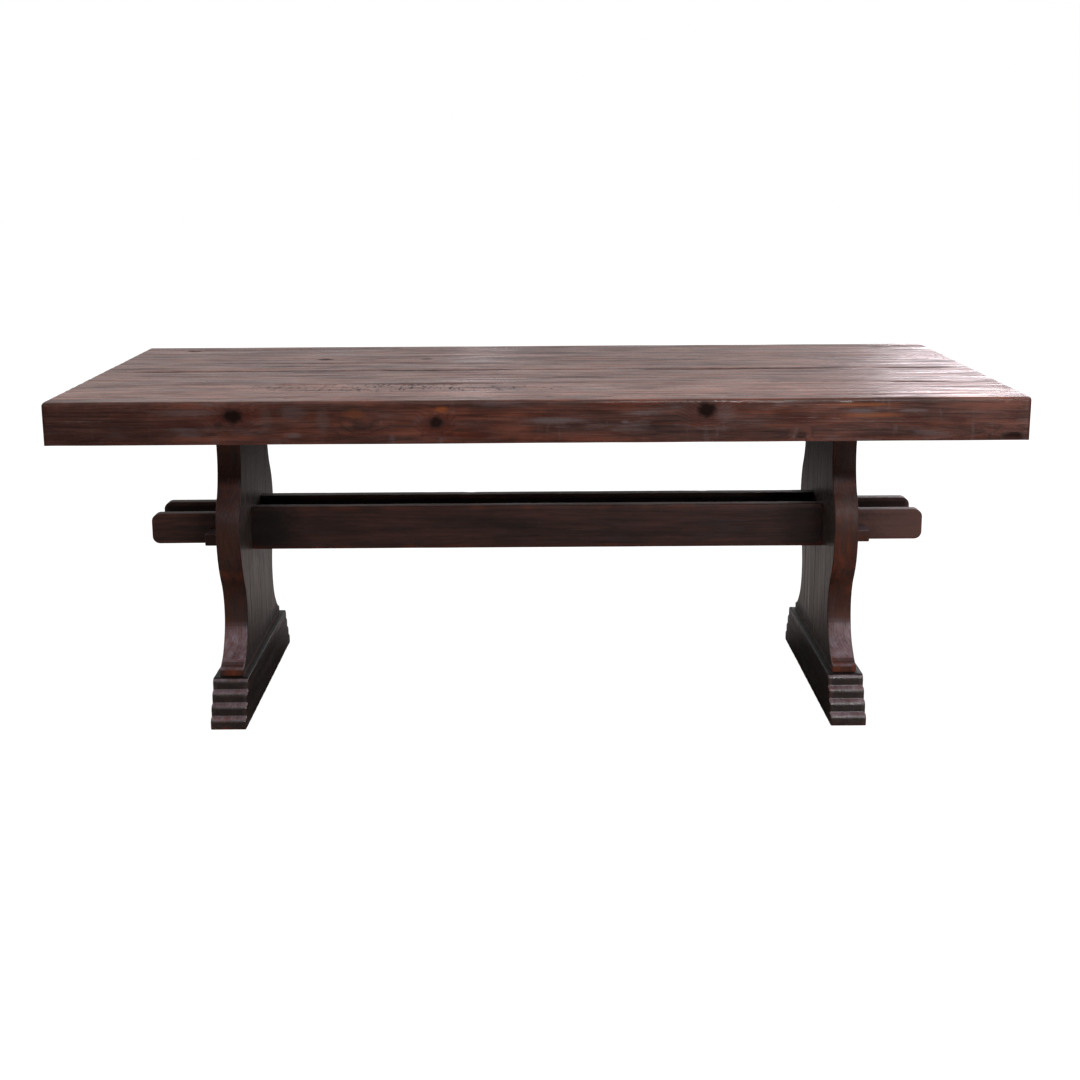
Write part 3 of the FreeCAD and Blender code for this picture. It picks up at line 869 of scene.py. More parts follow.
                if share * hollow.depth > wear.darkened:
                    vert[rubbed] = -share * hollow.darkening
            move = vert.normal * depth
            if any(abs(vert.co.y - y) < TOUCH for y in wear.glued):
                move.y = 0.0
            moves.append((vert, move))
        for vert, move in moves:
            vert.co -= move
            vert.co.z = max(sill, vert.co.z)

    def finish(self, node: str, slot: Slot, finish: StainedPine, body: str = "root") -> Object:
        """Take the timber off the bench and put it in the place of its CAD node.

        Args:
            node: The CAD node that it stands for.
            slot: The record's material slot; not used.
            finish: Its finish.
            body: The body that it rides on.

        Returns:
            The piece.
        """
        name = node + "_timber"
        bmesh.ops.scale(self.mesh, vec=(MM, MM, MM), verts=self.mesh.verts)
        bmesh.ops.recalc_face_normals(self.mesh, faces=self.mesh.faces[:])
        data = bpy.data.meshes.new(name)
        self.mesh.to_mesh(data)
        self.mesh.free()
        data.shade_smooth()
        data.set_sharp_from_angle(angle=self.shaded_sharp)
        data.materials.append(finish.material())
        piece = put_in_scene(name, data)
        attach(piece, body)
        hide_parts(node)
        LOG.info("%s: %d faces", name, len(data.polygons))
        return piece


def corners(node: str) -> tuple[Vector, Vector]:
    """Lowest and highest corner of a CAD node, mm."""
    low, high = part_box(node)
    return low / MM, high / MM


# --- The top ---
@dataclass(frozen=True)
class Board:
    """One board of the top: its node, how far its front and back seams are eased, and its finish."""

    node: str
    front_ease: float
    back_ease: float
    finish: StainedPine


# The top: a reddish brown, paler where hands and cloths have wiped it, with a streaky satin gloss.
TOP_PINE = StainedPine(name="top", grain=Grain.ALONG_X, heart=(0.0, 0.0))
SCUFF = "#574b4b"  # blotches where the wax is scuffed grey
RED = "#3c160f"  # blotches where the stain is red and dark
ORANGE = "#7d4524"  # blotches where the stain is thin
SHADE = "#2a110c"  # painted shade: the front board darker towards its left end, where less light falls


@dataclass
class TableTop:
    """The planked top with its edge and end boards."""

    arris: float = 7.0
    seam_ease: float = 1.5
    middle_seam_ease: float = 3.5
    low_arris: float = 1.5
    row_step: float = 6.0
    rung_step: float = 8.0
    hollow: float = 0.5
    nibble: float = 1.6
    wiped_depth: float = 12.0
    wiped_looks: Triple = (0.75, 0.97, 2.0)
    end_heart: float = 690.0
    end_shift: float = 100.0  # how much further along the grain a board starts for each seed
    end_seeds: tuple[float, float] = (31.0, 37.0)
    seed_step: float = 3.7
    front: float = -508.0
    hollows: tuple[Hollow, ...] = (
        Hollow(-960.0, -540.0, 0.0, 19.0, 5.0),
        Hollow(-390.0, -20.0, 0.0, 17.0, 4.2),
        Hollow(220.0, 740.0, -2.0, 17.0, 4.4),
        Hollow(770.0, 1010.0, -2.0, 15.0, 4.2),
        Hollow(-560.0, -330.0, -2.0, 9.0, 2.0, 0.6),
        Hollow(-60.0, 260.0, 0.0, 8.0, 1.6, 0.5),
        Hollow(-300.0, -150.0, -250.0, 9.0, 2.4),
        Hollow(740.0, 940.0, -256.0, 11.0, 2.8),
        Hollow(-900.0, -190.0, 150.0, 11.0, 1.6, 0.6),
    )
    front_knots: tuple[tuple[float, ...], ...] = (  # X, Z, half-axes, darkness
        (-624.2, 731.0, 22.0, 90.0, 16.0, 1.0),
        (-653.8, 715.0, 10.0, 90.0, 7.0, 0.55),
        (-359.4, 708.0, 22.0, 90.0, 9.0, 0.45),
        (-207.2, 716.0, 16.0, 90.0, 14.0, 0.95),
        (348.8, 739.0, 21.0, 60.0, 17.0, 1.0),
        (543.3, 685.0, 11.0, 90.0, 8.0, 0.6),
        (979.4, 678.0, 26.0, 90.0, 12.0, 0.9),
    )
    front_blotches: tuple[tuple[float | str, ...], ...] = (  # X, Z, half-axes, hue, share
        # painted shade at the front board's left end
        (-1000.0, 700.0, 330.0, 60.0, 90.0, SHADE, 0.45),
        (-624.5, 729.0, 56.0, 60.0, 30.0, RED, 0.7),
        (-206.5, 713.0, 40.0, 60.0, 26.0, RED, 0.65),
        (348.5, 732.0, 48.0, 60.0, 30.0, RED, 0.65),
        (-735.4, 714.0, 75.0, 40.0, 8.0, RED, 0.7),
        (-729.2, 705.0, 36.0, 40.0, 3.5, SCUFF, 0.5),
        (-714.9, 739.0, 80.0, 40.0, 8.0, SCUFF, 0.45),
        (-556.1, 722.0, 14.0, 40.0, 34.0, SCUFF, 0.2),
        (-500.2, 738.0, 32.0, 40.0, 18.0, SCUFF, 0.35),
        (-439.4, 722.0, 16.0, 40.0, 28.0, SCUFF, 0.3),
        (-500.2, 691.0, 20.0, 40.0, 6.0, SCUFF, 0.6),
        (-373.6, 735.0, 26.0, 40.0, 12.0, ORANGE, 0.3),
        (-196.1, 743.0, 17.0, 40.0, 7.0, ORANGE, 0.75),
        (-155.9, 690.0, 90.0, 40.0, 7.0, RED, 0.5),
        (34.5, 723.0, 90.0, 40.0, 10.0, RED, 0.6),
        (34.5, 719.0, 66.0, 40.0, 7.0, SCUFF, 0.7),
        (215.9, 733.0, 42.0, 40.0, 5.0, SCUFF, 0.6),
        (181.1, 715.0, 9.0, 40.0, 4.0, SCUFF, 0.7),
        (387.4, 732.0, 22.0, 60.0, 24.0, SCUFF, 0.35),
        (532.4, 718.0, 46.0, 40.0, 7.0, RED, 0.6),
        (670.0, 748.0, 80.0, 40.0, 4.0, ORANGE, 0.7),
        (662.2, 735.0, 34.0, 40.0, 5.0, SCUFF, 0.8),
        (691.6, 726.0, 70.0, 40.0, 5.0, ORANGE, 0.6),
        (772.8, 735.0, 36.0, 40.0, 4.0, SCUFF, 0.7),
        (772.8, 722.0, 26.0, 40.0, 6.0, RED, 0.7),
        (865.6, 717.0, 24.0, 40.0, 9.0, RED, 0.8),
        (979.4, 723.0, 12.0, 40.0, 16.0, RED, 0.6),
    )

    def boards(self) -> tuple[Board, ...]:
        """The planks and edge boards, from the front to the back."""
        ease, middle = self.seam_ease, self.middle_seam_ease
        knots = tuple(
            Knot((x, self.front, z), (wide, deep, tall), darkness)
            for x, z, wide, deep, tall, darkness in self.front_knots
        )
        blotches = tuple(
            Blotch((x, self.front, z), (wide, deep, tall), hue, share)
            for x, z, wide, deep, tall, hue, share in self.front_blotches
        )
        return (
            Board("front_edge_board", 0.0, ease, replace(
                TOP_PINE, name="front_edge_board", heart=(-470.0, 690.0), planer_wash=0.12, relief=0.35,
                knots=knots, blotches=blotches)),
            Board("front_plank", ease, ease, replace(
                TOP_PINE, name="front_plank", heart=(-330.0, 640.0), shift=900.0,
                wiped_and_sheen=("#9a6453", "#6a423a", "#281410"), sawn=(
                    SawMarks((-380.0, -290.0, 762.0), (260.0, 80.0, 60.0), 0.45),
                    SawMarks((-60.0, -330.0, 762.0), (150.0, 55.0, 60.0), 0.3)))),
            Board("front_middle_plank", ease, middle, replace(
                TOP_PINE, name="front_middle_plank", heart=(-150.0, 660.0), shift=2300.0)),
            Board("back_middle_plank", middle, ease, replace(
                TOP_PINE, name="back_middle_plank", heart=(90.0, 650.0), shift=4100.0,
                knots=(Knot((-520.0, 222.0, 760.0), (22.0, 13.0, 60.0)),
                       Knot((-270.0, 220.0, 760.0), (16.0, 11.0, 60.0), 0.7)))),
            Board("back_plank", ease, ease, replace(
                TOP_PINE, name="back_plank", heart=(380.0, 660.0), shift=5700.0,
                knots=(Knot((-880.0, 420.0, 760.0), (20.0, 13.0, 60.0), 0.8),))),
            Board("back_edge_board", ease, 0.0, replace(
                TOP_PINE, name="back_edge_board", heart=(470.0, 700.0), shift=7300.0)),
        )

    def make_board(self, board: Board, seed: float) -> None:
        """Make one board and put it in its place."""
        low, high = corners(board.node)
        timber = Timber.block(low, high)
        far = 2 * high.x
        top, foot = high.z, low.z
        sides = ((low.y, board.front_ease), (high.y, board.back_ease))
        arrises = timber.edges_in((low.x, low.y, top), (low.x, high.y, top))
        arrises += timber.edges_in((high.x, low.y, top), (high.x, high.y, top))
        for y, ease in sides:
            if not ease:
                arrises += timber.edges_in((-far, y, top), (far, y, top))
                arrises += timber.edges_in((low.x, y, foot), (low.x, y, top))
                arrises += timber.edges_in((high.x, y, foot), (high.x, y, top))
        timber.ease(arrises, self.arris, 4)
        for y, ease in sides:
            if ease:
                timber.ease(timber.edges_in((-far, y, top - self.arris), (far, y, top)), ease, 2)
            else:
                timber.ease(timber.edges_in((-far, y, foot), (far, y, foot)), self.low_arris, 2)
        timber.grid(1, self.row_step)
        timber.grid(2, 2 * self.row_step)
        timber.rungs(0, self.rung_step)
        wear = Wear(
            self.hollow, self.nibble, self.hollows, looks=self.wiped_looks,
            wiped_and_sheen=((top - self.wiped_depth, far, 1.0),),
        )
        timber.wear_down(wear, seed)
        timber.finish(board.node, Slot.TOP, board.finish)

    def make_end_board(self, side: str, seed: float) -> None:
        """Make the board under the planks' ends."""
        node = side + "_end_board"
        low, high = corners(node)
        timber = Timber.block(low, high)
        outer = low.x if side == "left" else high.x
        timber.ease(timber.edges_in((outer, low.y, low.z), (outer, high.y, low.z)), self.low_arris, 2)
        timber.grid(2, 2 * self.row_step)
        timber.rungs(1, self.rung_step)
        timber.wear_down(Wear(self.hollow, self.nibble), seed)
        finish = replace(
            TOP_PINE, name=node, grain=Grain.ALONG_Y, heart=(outer, self.end_heart),
            shift=seed * self.end_shift,
        )
        timber.finish(node, Slot.TOP, finish)

    def build(self) -> None:
        """Make every board of the top."""
        for number, board in enumerate(self.boards()):
            self.make_board(board, self.seed_step * (number + 1))
        for side, seed in zip(("left", "right"), self.end_seeds):
            self.make_end_board(side, seed)


# --- Trestles ---
# The frame: nearly black brown, grey with dust and a painted sheen where it looks upwards, orange on the
# rubbed arrises.
BASE_PINE = StainedPine(
    name="base", grain=Grain.ALONG_Z, heart=(0.0, 0.0), light="#31211d", middle="#211613", dark="#130d0b",
    wash="#332b2e", planer_wash=0.1, warm="#3f2212", warm_share=0.14,
    wiped_and_sheen=("#7d6d73", "#64555b", "#403438"), rubbed="#6b3018", rub_share=1.0, darkening="#070404",
    knot="#0b0605", roughness=(0.26, 0.42), pore_share=0.3, edge_dullness=0.5, specular=0.45,
    ring_spacing=7.0, fibre_length=230.0, relief=0.35,
)


@dataclass
class Trestle:
    """One trestle: a vase-shaped panel of four staves on a stepped foot."""

    side: str
    sign: int
    foot_height: float = 104.0
    top_underside: float = 672.0
    panel_thickness: float = 54.0
    inner_width: float = 140.0
    glue_line: float = 1.2
    arris: float = 2.6
    base: float = 277.0
    fillet: float = 16.0
    waist: float = 191.5
    waist_height: float = 235.0
    belly: float = 249.0
    belly_height: float = 415.0
    neck: float = 191.0
    neck_height: float = 590.0
    head: float = 215.0
    belly_share_below: float = 0.61
    belly_share_above: float = 0.49
    rail_y: float = 70.0
    mortise: tuple[float, float] = (35.4, 70.4)
    mortise_height: float = 404.0
    steps: int = 4
    setback: float = 16.0
    nose: float = 11.5
    cove: float = 2.5
    foot_arris: float = 2.6
    bore: float = 15.0
    bore_depth: float = 40.0
    bore_y: float = 165.75
    grid_step: float = 11.0
    hollow: float = 0.5
    nibble: float = 1.2
    arc_steps: int = 12
    clean_cove: float = 0.9  # above this slope the flare's end gets neither dust nor painted sheen
    dust_and_sheen_share: float = 0.6
    painted_sheen_lean: float = 0.25  # painted light: how much more grey dust and painted sheen the right trestle has, and the left one less
    dust_and_sheen: tuple[float, float] = (310.0, 280.0)  # height where it is thickest, and its reach up and down
    shade_height: float = 545.0  # above this the top's shadow falls, and the panel gets neither dust nor painted sheen
    # dust and painted sheen on the belly's upper side, below the top's shadow
    belly_dust_and_sheen: float = 0.15
    # painted shade low on the panel's sides, just above the foot
    ledge_painted_shade: Triple = (0.5, 55.0, 0.0)
    # painted shade: the foot's sides darker towards the floor, and its risers darker
    foot_painted_shade: Triple = (0.25, 400.0, 0.3)
    # dust and a painted highlight on the upper part of each nosing
    foot_looks: Triple = (0.35, 0.8, 2.0)
    stave_heart: tuple[float, float] = (20.0, 60.0)  # of the pith from the stave's middle, along Y and X
    foot_heart: tuple[float, float] = (20.0, -30.0)
    stave_shift: float = 150.0  # how much further along the grain it starts for each seed
    foot_shift: float = 170.0

    def curved_side(self) -> Outline:
        """Outline of an outer stave on the back side, from its base up to its head."""
        low, high = self.foot_height, self.top_underside
        outline = Outline((0.0, self.inner_width, low))
        outline.line_to((0.0, self.base, low), (0.0, self.base, low + self.fillet))
        radius = arc_radius(self.base - self.waist, self.waist_height - low - self.fillet)
        centre = (0.0, self.waist + radius, self.waist_height)
        outline.arc_to((0.0, self.waist, self.waist_height), centre, self.arc_steps)
        belly, neck = (0.0, self.belly, self.belly_height), (0.0, self.neck, self.neck_height)
        outline.reverse_curve_to(belly, self.belly_share_below, self.arc_steps)
        outline.reverse_curve_to(neck, 1 - self.belly_share_above, self.arc_steps)
        radius = arc_radius(self.head - self.neck, high - self.neck_height)
        centre = (0.0, self.neck + radius, self.neck_height)
        outline.arc_to((0.0, self.head, high), centre, self.arc_steps)
        outline.line_to((0.0, self.inner_width, high))
        return outline.closed()

    def straight_side(self) -> Outline:
        """Outline of an inner stave on the back side."""
        low, high = self.foot_height, self.top_underside
        outline = Outline((0.0, 0.0, low))
        outline.line_to((0.0, self.inner_width, low), (0.0, self.inner_width, high), (0.0, 0.0, high))
        return outline.closed()

    def make_stave(self, name: str, front: int, outer: bool, seed: float) -> None:
        """Make one stave.

        Args:
            name: Its node's name without the side.
            front: -1 for the front half of the panel, 1 for the back half.
            outer: Whether it is an outer, curved stave.
            seed: Where in the noise it starts.
        """
        node = self.side + "_" + name
        low, high = corners(node)
        half = self.panel_thickness / 2
        middle_x = (low.x + high.x) / 2
        wide, tall = self.mortise[0] / 2, self.mortise[1] / 2
        hole = (
            (0.0, self.rail_y - wide, self.mortise_height - tall),
            (0.0, self.rail_y + wide, self.mortise_height + tall),
        )
        outline = self.curved_side() if outer else self.straight_side()
        timber = Timber.cut_out(outline, () if outer else (hole,), (2 * half, 0.0, 0.0))
        if front < 0:
            bmesh.ops.scale(timber.mesh, vec=(1, -1, 1), verts=timber.mesh.verts)
            bmesh.ops.recalc_face_normals(timber.mesh, faces=timber.mesh.faces[:])
        bmesh.ops.translate(timber.mesh, vec=(middle_x - half, 0, 0), verts=timber.mesh.verts)
        arrises: list[bmesh.types.BMEdge] = []
        lines: list[bmesh.types.BMEdge] = []
        ends = (self.foot_height, self.top_underside)
        for x in (middle_x - half, middle_x + half):
            for edge in timber.edges_in((x, -self.base, ends[0]), (x, self.base, ends[1])):
                heights = [vert.co.z for vert in edge.verts]
                if abs(heights[0] - heights[1]) < TOUCH and min(heights) in ends:
                    continue
                offsets = [abs(vert.co.y) for vert in edge.verts]
                if all(min(off, abs(off - self.inner_width)) < TOUCH for off in offsets):
                    lines.append(edge)
                elif outer and min(offsets) > self.inner_width:
                    arrises.append(edge)
        timber.ease(arrises, self.arris, 3)
        timber.ease([edge for edge in lines if edge.is_valid], self.glue_line, 1)
        timber.grid(2, self.grid_step)
        timber.grid(1, self.grid_step)
        # grey dust and painted sheen where the panel looks up and on its sides, painted shade low on its
        # sides
        wear = Wear(
            self.hollow, self.nibble, looks=(*Wear.looks[:2], self.clean_cove),
            wiped_and_sheen=(
                (self.foot_height, self.waist_height, 1.0),
                (self.belly_height, self.shade_height, self.belly_dust_and_sheen),
            ),
            dust_and_sheen=(self.dust_and_sheen_share + self.painted_sheen_lean * self.sign, *self.dust_and_sheen), painted_shade=self.ledge_painted_shade,
            kicked=self.foot_height + self.fillet - self.arris,
            glued=tuple(y for y in (low.y, high.y) if abs(y) < self.inner_width + TOUCH),
        )
        timber.wear_down(wear, seed)
        along_y, along_x = self.stave_heart
        heart = ((low.y + high.y) / 2 + along_y, -(middle_x + self.sign * along_x))
        finish = replace(BASE_PINE, name=node, heart=heart, shift=seed * self.stave_shift)
        timber.finish(node, Slot.BASE, finish)

    def make_foot(self, seed: float) -> None:
        """Make the stepped foot with its two counterbores."""
        node = self.side + "_foot"
        low, high = corners(node)
        end = high.y
        rise = self.foot_height / self.steps
        outline = Outline((low.x, 0.0, 0.0))
        outline.line_to((low.x, end, 0.0))
        for step in range(self.steps):
            riser, tread = end - step * self.setback, (step + 1) * rise
            outline.line_to((low.x, riser, tread - self.nose))
            inner = riser - self.nose
            outline.arc_to((low.x, inner, tread), (low.x, inner, tread - self.nose), 6)
            if step + 1 < self.steps:
                back = riser - self.setback
                centre = (low.x, back + self.cove, tread + self.cove)
                outline.line_to((low.x, back + self.cove, tread))
                outline.arc_to((low.x, back, tread + self.cove), centre, 4)
        outline.line_to((low.x, 0.0, self.foot_height))
        timber = Timber.cut_out(outline.mirrored("Y"), (), (high.x - low.x, 0.0, 0.0))
        sides: list[bmesh.types.BMEdge] = []
        for x in (low.x, high.x):
            sides += timber.edges_in((x, low.y, 0.0), (x, high.y, high.z))
        timber.ease(sides, self.foot_arris, 3)
        timber.grid(0, self.grid_step)
        timber.grid(1, self.grid_step)
        timber.grid(2, 2 * self.grid_step)
        middle_x = (low.x + high.x) / 2
        reach = self.bore + timber.bore_margin
        timber.split(0, middle_x - reach)
        timber.split(0, middle_x + reach)
        for sign in (-1, 1):
            timber.split(1, sign * self.bore_y - reach)
            timber.split(1, sign * self.bore_y + reach)
            timber.bore(Vector((middle_x, sign * self.bore_y, 0.0)), self.bore, self.bore_depth)
        # painted shade on the foot's sides and risers, its top beside the panel always darkened, dust and
        # a painted highlight on the nosings
        wear = Wear(
            self.hollow, self.nibble, looks=self.foot_looks, wiped_and_sheen=((0.0, self.foot_height - 1.0, 1.0),),
            painted_shade=self.foot_painted_shade, ledge=self.foot_height - 2.0,
        )
        timber.wear_down(wear, seed)
        finish = replace(
            BASE_PINE, name=node, grain=Grain.ALONG_Y, shift=seed * self.foot_shift,
            heart=(middle_x - self.foot_heart[0], self.foot_heart[1]),
            roughness=(0.2, 0.36), edge_dullness=0.0, specular=0.6,
        )
        timber.finish(node, Slot.BASE, finish)

    def build(self) -> None:
        """Make the four staves and the foot."""
        start = 50.0 + 20.0 * self.sign
        self.make_stave("front_outer_stave", -1, True, start)
        self.make_stave("front_inner_stave", -1, False, start + 2.3)
        self.make_stave("back_inner_stave", 1, False, start + 4.9)
        self.make_stave("back_outer_stave", 1, True, start + 7.1)
        self.make_foot(start + 9.7)


# --- Rails and keys ---
@dataclass
class Rails:
    """The two rails with shouldered, round-cornered through tenons."""

    shoulder: float = 667.0
    half_height: float = 50.0
    tenon_half_height: float = 35.0
    end_radius: float = 17.0
    middle_height: float = 404.0
    arris: float = 2.2
    key_inner: float = 717.99
    key_outer_front: float = 766.6
    key_taper: float = -6.0 / 293.0
    key_low: float = 375.7
    key_high: float = 404.3
    key_front: float = -146.5
    hollow: float = 0.5
    nibble: float = 1.0
    pith: tuple[float, float] = (40.0, 380.0)
    shift: float = 140.0  # how much further along the grain it starts for each seed
    back_rail_painted_shade: float = 0.45  # painted shade on the back rail, which lies in the shadow of the front rail and the top
    # painted light: the rails' right ends paler, where light from the right falls on them
    right_end_light: Triple = (165.0, 60.0, 90.0)
    corner: float = 640.0  # where the rails meet the panels, and painted shade darkens them
    corner_painted_shade: Triple = (85.0, 60.0, 150.0)
    grid_step: float = 12.0

    def make_rail(self, node: str, seed: float, painted_shade: float) -> None:
        """Make one rail with its share of painted shade on the faces that look along Y."""
        low, high = corners(node)
        end, centre = high.x, self.middle_height
        top, tenon = centre + self.half_height, centre + self.tenon_half_height
        below, tenon_below = centre - self.half_height, centre - self.tenon_half_height
        round_x, y = end - self.end_radius, low.y
        outline = Outline((0.0, y, top))
        outline.line_to((self.shoulder, y, top), (self.shoulder, y, tenon), (round_x, y, tenon))
        outline.arc_to((end, y, tenon - self.end_radius), (round_x, y, tenon - self.end_radius), 8)
        outline.line_to((end, y, tenon_below + self.end_radius))
        outline.arc_to((round_x, y, tenon_below), (round_x, y, tenon_below + self.end_radius), 8)
        outline.line_to((self.shoulder, y, tenon_below), (self.shoulder, y, below), (0.0, y, below))
        middle = (low.y + high.y) / 2
        outer = self.key_outer_front + self.key_taper * (middle - self.key_front)
        holes = [
            ((min(sign * self.key_inner, sign * outer), y, self.key_low),
             (max(sign * self.key_inner, sign * outer), y, self.key_high))
            for sign in (-1, 1)
        ]
        timber = Timber.cut_out(outline.mirrored("X"), holes, (0.0, high.y - low.y, 0.0))
        arrises = [
            edge for edge in timber.mesh.edges
            if abs(edge.verts[0].co.y - edge.verts[1].co.y) < TOUCH and not self.is_at_hole(edge, outer)
        ]
        timber.ease(arrises, self.arris, 3)
        timber.grid(2, self.grid_step)
        timber.grid(0, self.grid_step)
        # painted shade on the faces that look along Y; the front rail gets none
        timber.wear_down(Wear(self.hollow, self.nibble, painted_shade=(0.0, 1.0, painted_shade)), seed)
        finish = replace(
            BASE_PINE, name=node, grain=Grain.ALONG_X, heart=(middle + self.pith[0], self.pith[1]),
            shift=seed * self.shift, light="#482b25", middle="#331e19", dark="#1d120f",
            blotches=(
                # painted light on the rail's right end
                Blotch((high.x, y, centre), self.right_end_light, "#5f423d", 0.6),
                # painted shade where the panels shade the rails' ends, darker at the left
                Blotch((-self.corner, y, centre), self.corner_painted_shade, "#0d0807", 0.85),
                Blotch((self.corner, y, centre), self.corner_painted_shade, "#0d0807", 0.6),
            ),
        )
        timber.finish(node, Slot.BASE, finish)

    def is_at_hole(self, edge: bmesh.types.BMEdge, outer: float) -> bool:
        """Whether an edge borders the mortise of a key."""
        return all(
            self.key_inner - 1 < abs(vert.co.x) < outer + 1
            and self.key_low - 1 < vert.co.z < self.key_high + 1
            for vert in edge.verts
        )

    def build(self) -> None:
        """Make both rails."""
        self.make_rail("front_rail", 91.0, 0.0)
        self.make_rail("back_rail", 97.0, self.back_rail_painted_shade)


@dataclass
class Key:
    """A tapered key, driven in from the front through both rails."""

    side: str
    sign: int
    back_width: float = 39.0
    arris: float = 2.6
    grid_step: float = 7.0
    hollow: float = 0.3
    nibble: float = 0.8
    seed: float = 111.0
    upper_dust_and_sheen: float = 0.6  # share of the dust and painted sheen on its upper side
    pith: tuple[float, float] = (30.0, 350.0)
    shift: float = 400.0

    def build(self) -> None:
        """Make the key on its own body."""
        node = self.side + "_key"
        low, high = corners(node)
        timber = Timber.block(low, high)
        inner = low.x if self.sign > 0 else high.x
        for vert in timber.mesh.verts:
            if abs(vert.co.y - high.y) < TOUCH and abs(vert.co.x - inner) > TOUCH:
                vert.co.x = inner + self.sign * self.back_width
        timber.ease(timber.mesh.edges[:], self.arris, 3)
        timber.grid(1, self.grid_step)
        timber.grid(0, self.grid_step)
        wear = Wear(self.hollow, self.nibble, wiped_and_sheen=((low.z, high.z + 1.0, self.upper_dust_and_sheen),))
        timber.wear_down(wear, self.seed + self.sign)
        finish = replace(
            BASE_PINE, name=node, grain=Grain.ALONG_Y, heart=(-(low.x + self.pith[0]), self.pith[1]),
            shift=self.shift * self.sign,
        )
        timber.finish(node, Slot.BASE, finish, body=node)


# --- Joinery that stays as the CAD has it ---
@dataclass
class Joinery:
    """Bearers, battens, tongues, dowels, pegs and ironwork, which keep their CAD shapes."""

    nodes: dict[str, Object]
    timbers: tuple[str, ...] = (
        "left_bearer", "right_bearer", "left_batten", "middle_batten", "right_batten",
        "plank_tongues", "corner_dowels", "bearer_pegs",
    )
    ironwork: tuple[str, ...] = ("batten_screws", "bearer_screws", "lag_screws", "lag_washers")

    def build(self) -> None:
        """Give each hidden node its finish."""
        across = replace(
            BASE_PINE, name="plain", grain=Grain.ALONG_Y, heart=(0.0, 600.0), light="#cfae85",
            middle="#b58d62", dark="#8c623c", wash="#c9b08f", warm="#b98755", rubbed="#d2b48c",
            darkening="#5d4430", knot="#5a3620", wiped_and_sheen=("#cfae85", "#b58d62", "#8c623c"), specular=0.5,
        )
        lengthwise = replace(across, name="plain_lengthwise", grain=Grain.ALONG_X)
        soaked = replace(BASE_PINE, name="soaked", grain=Grain.ALONG_X)
        finishes = dict.fromkeys(self.timbers, across.material())
        finishes |= dict.fromkeys(self.ironwork, ZincSteel().material())
        finishes |= {"plank_tongues": soaked.material(), "bearer_pegs": lengthwise.material()}
        for name, finish in finishes.items():
            data = self.nodes[name].data
            data.materials.clear()
            data.materials.append(finish)
            LOG.info("%s: finish %s", name, finish.name)


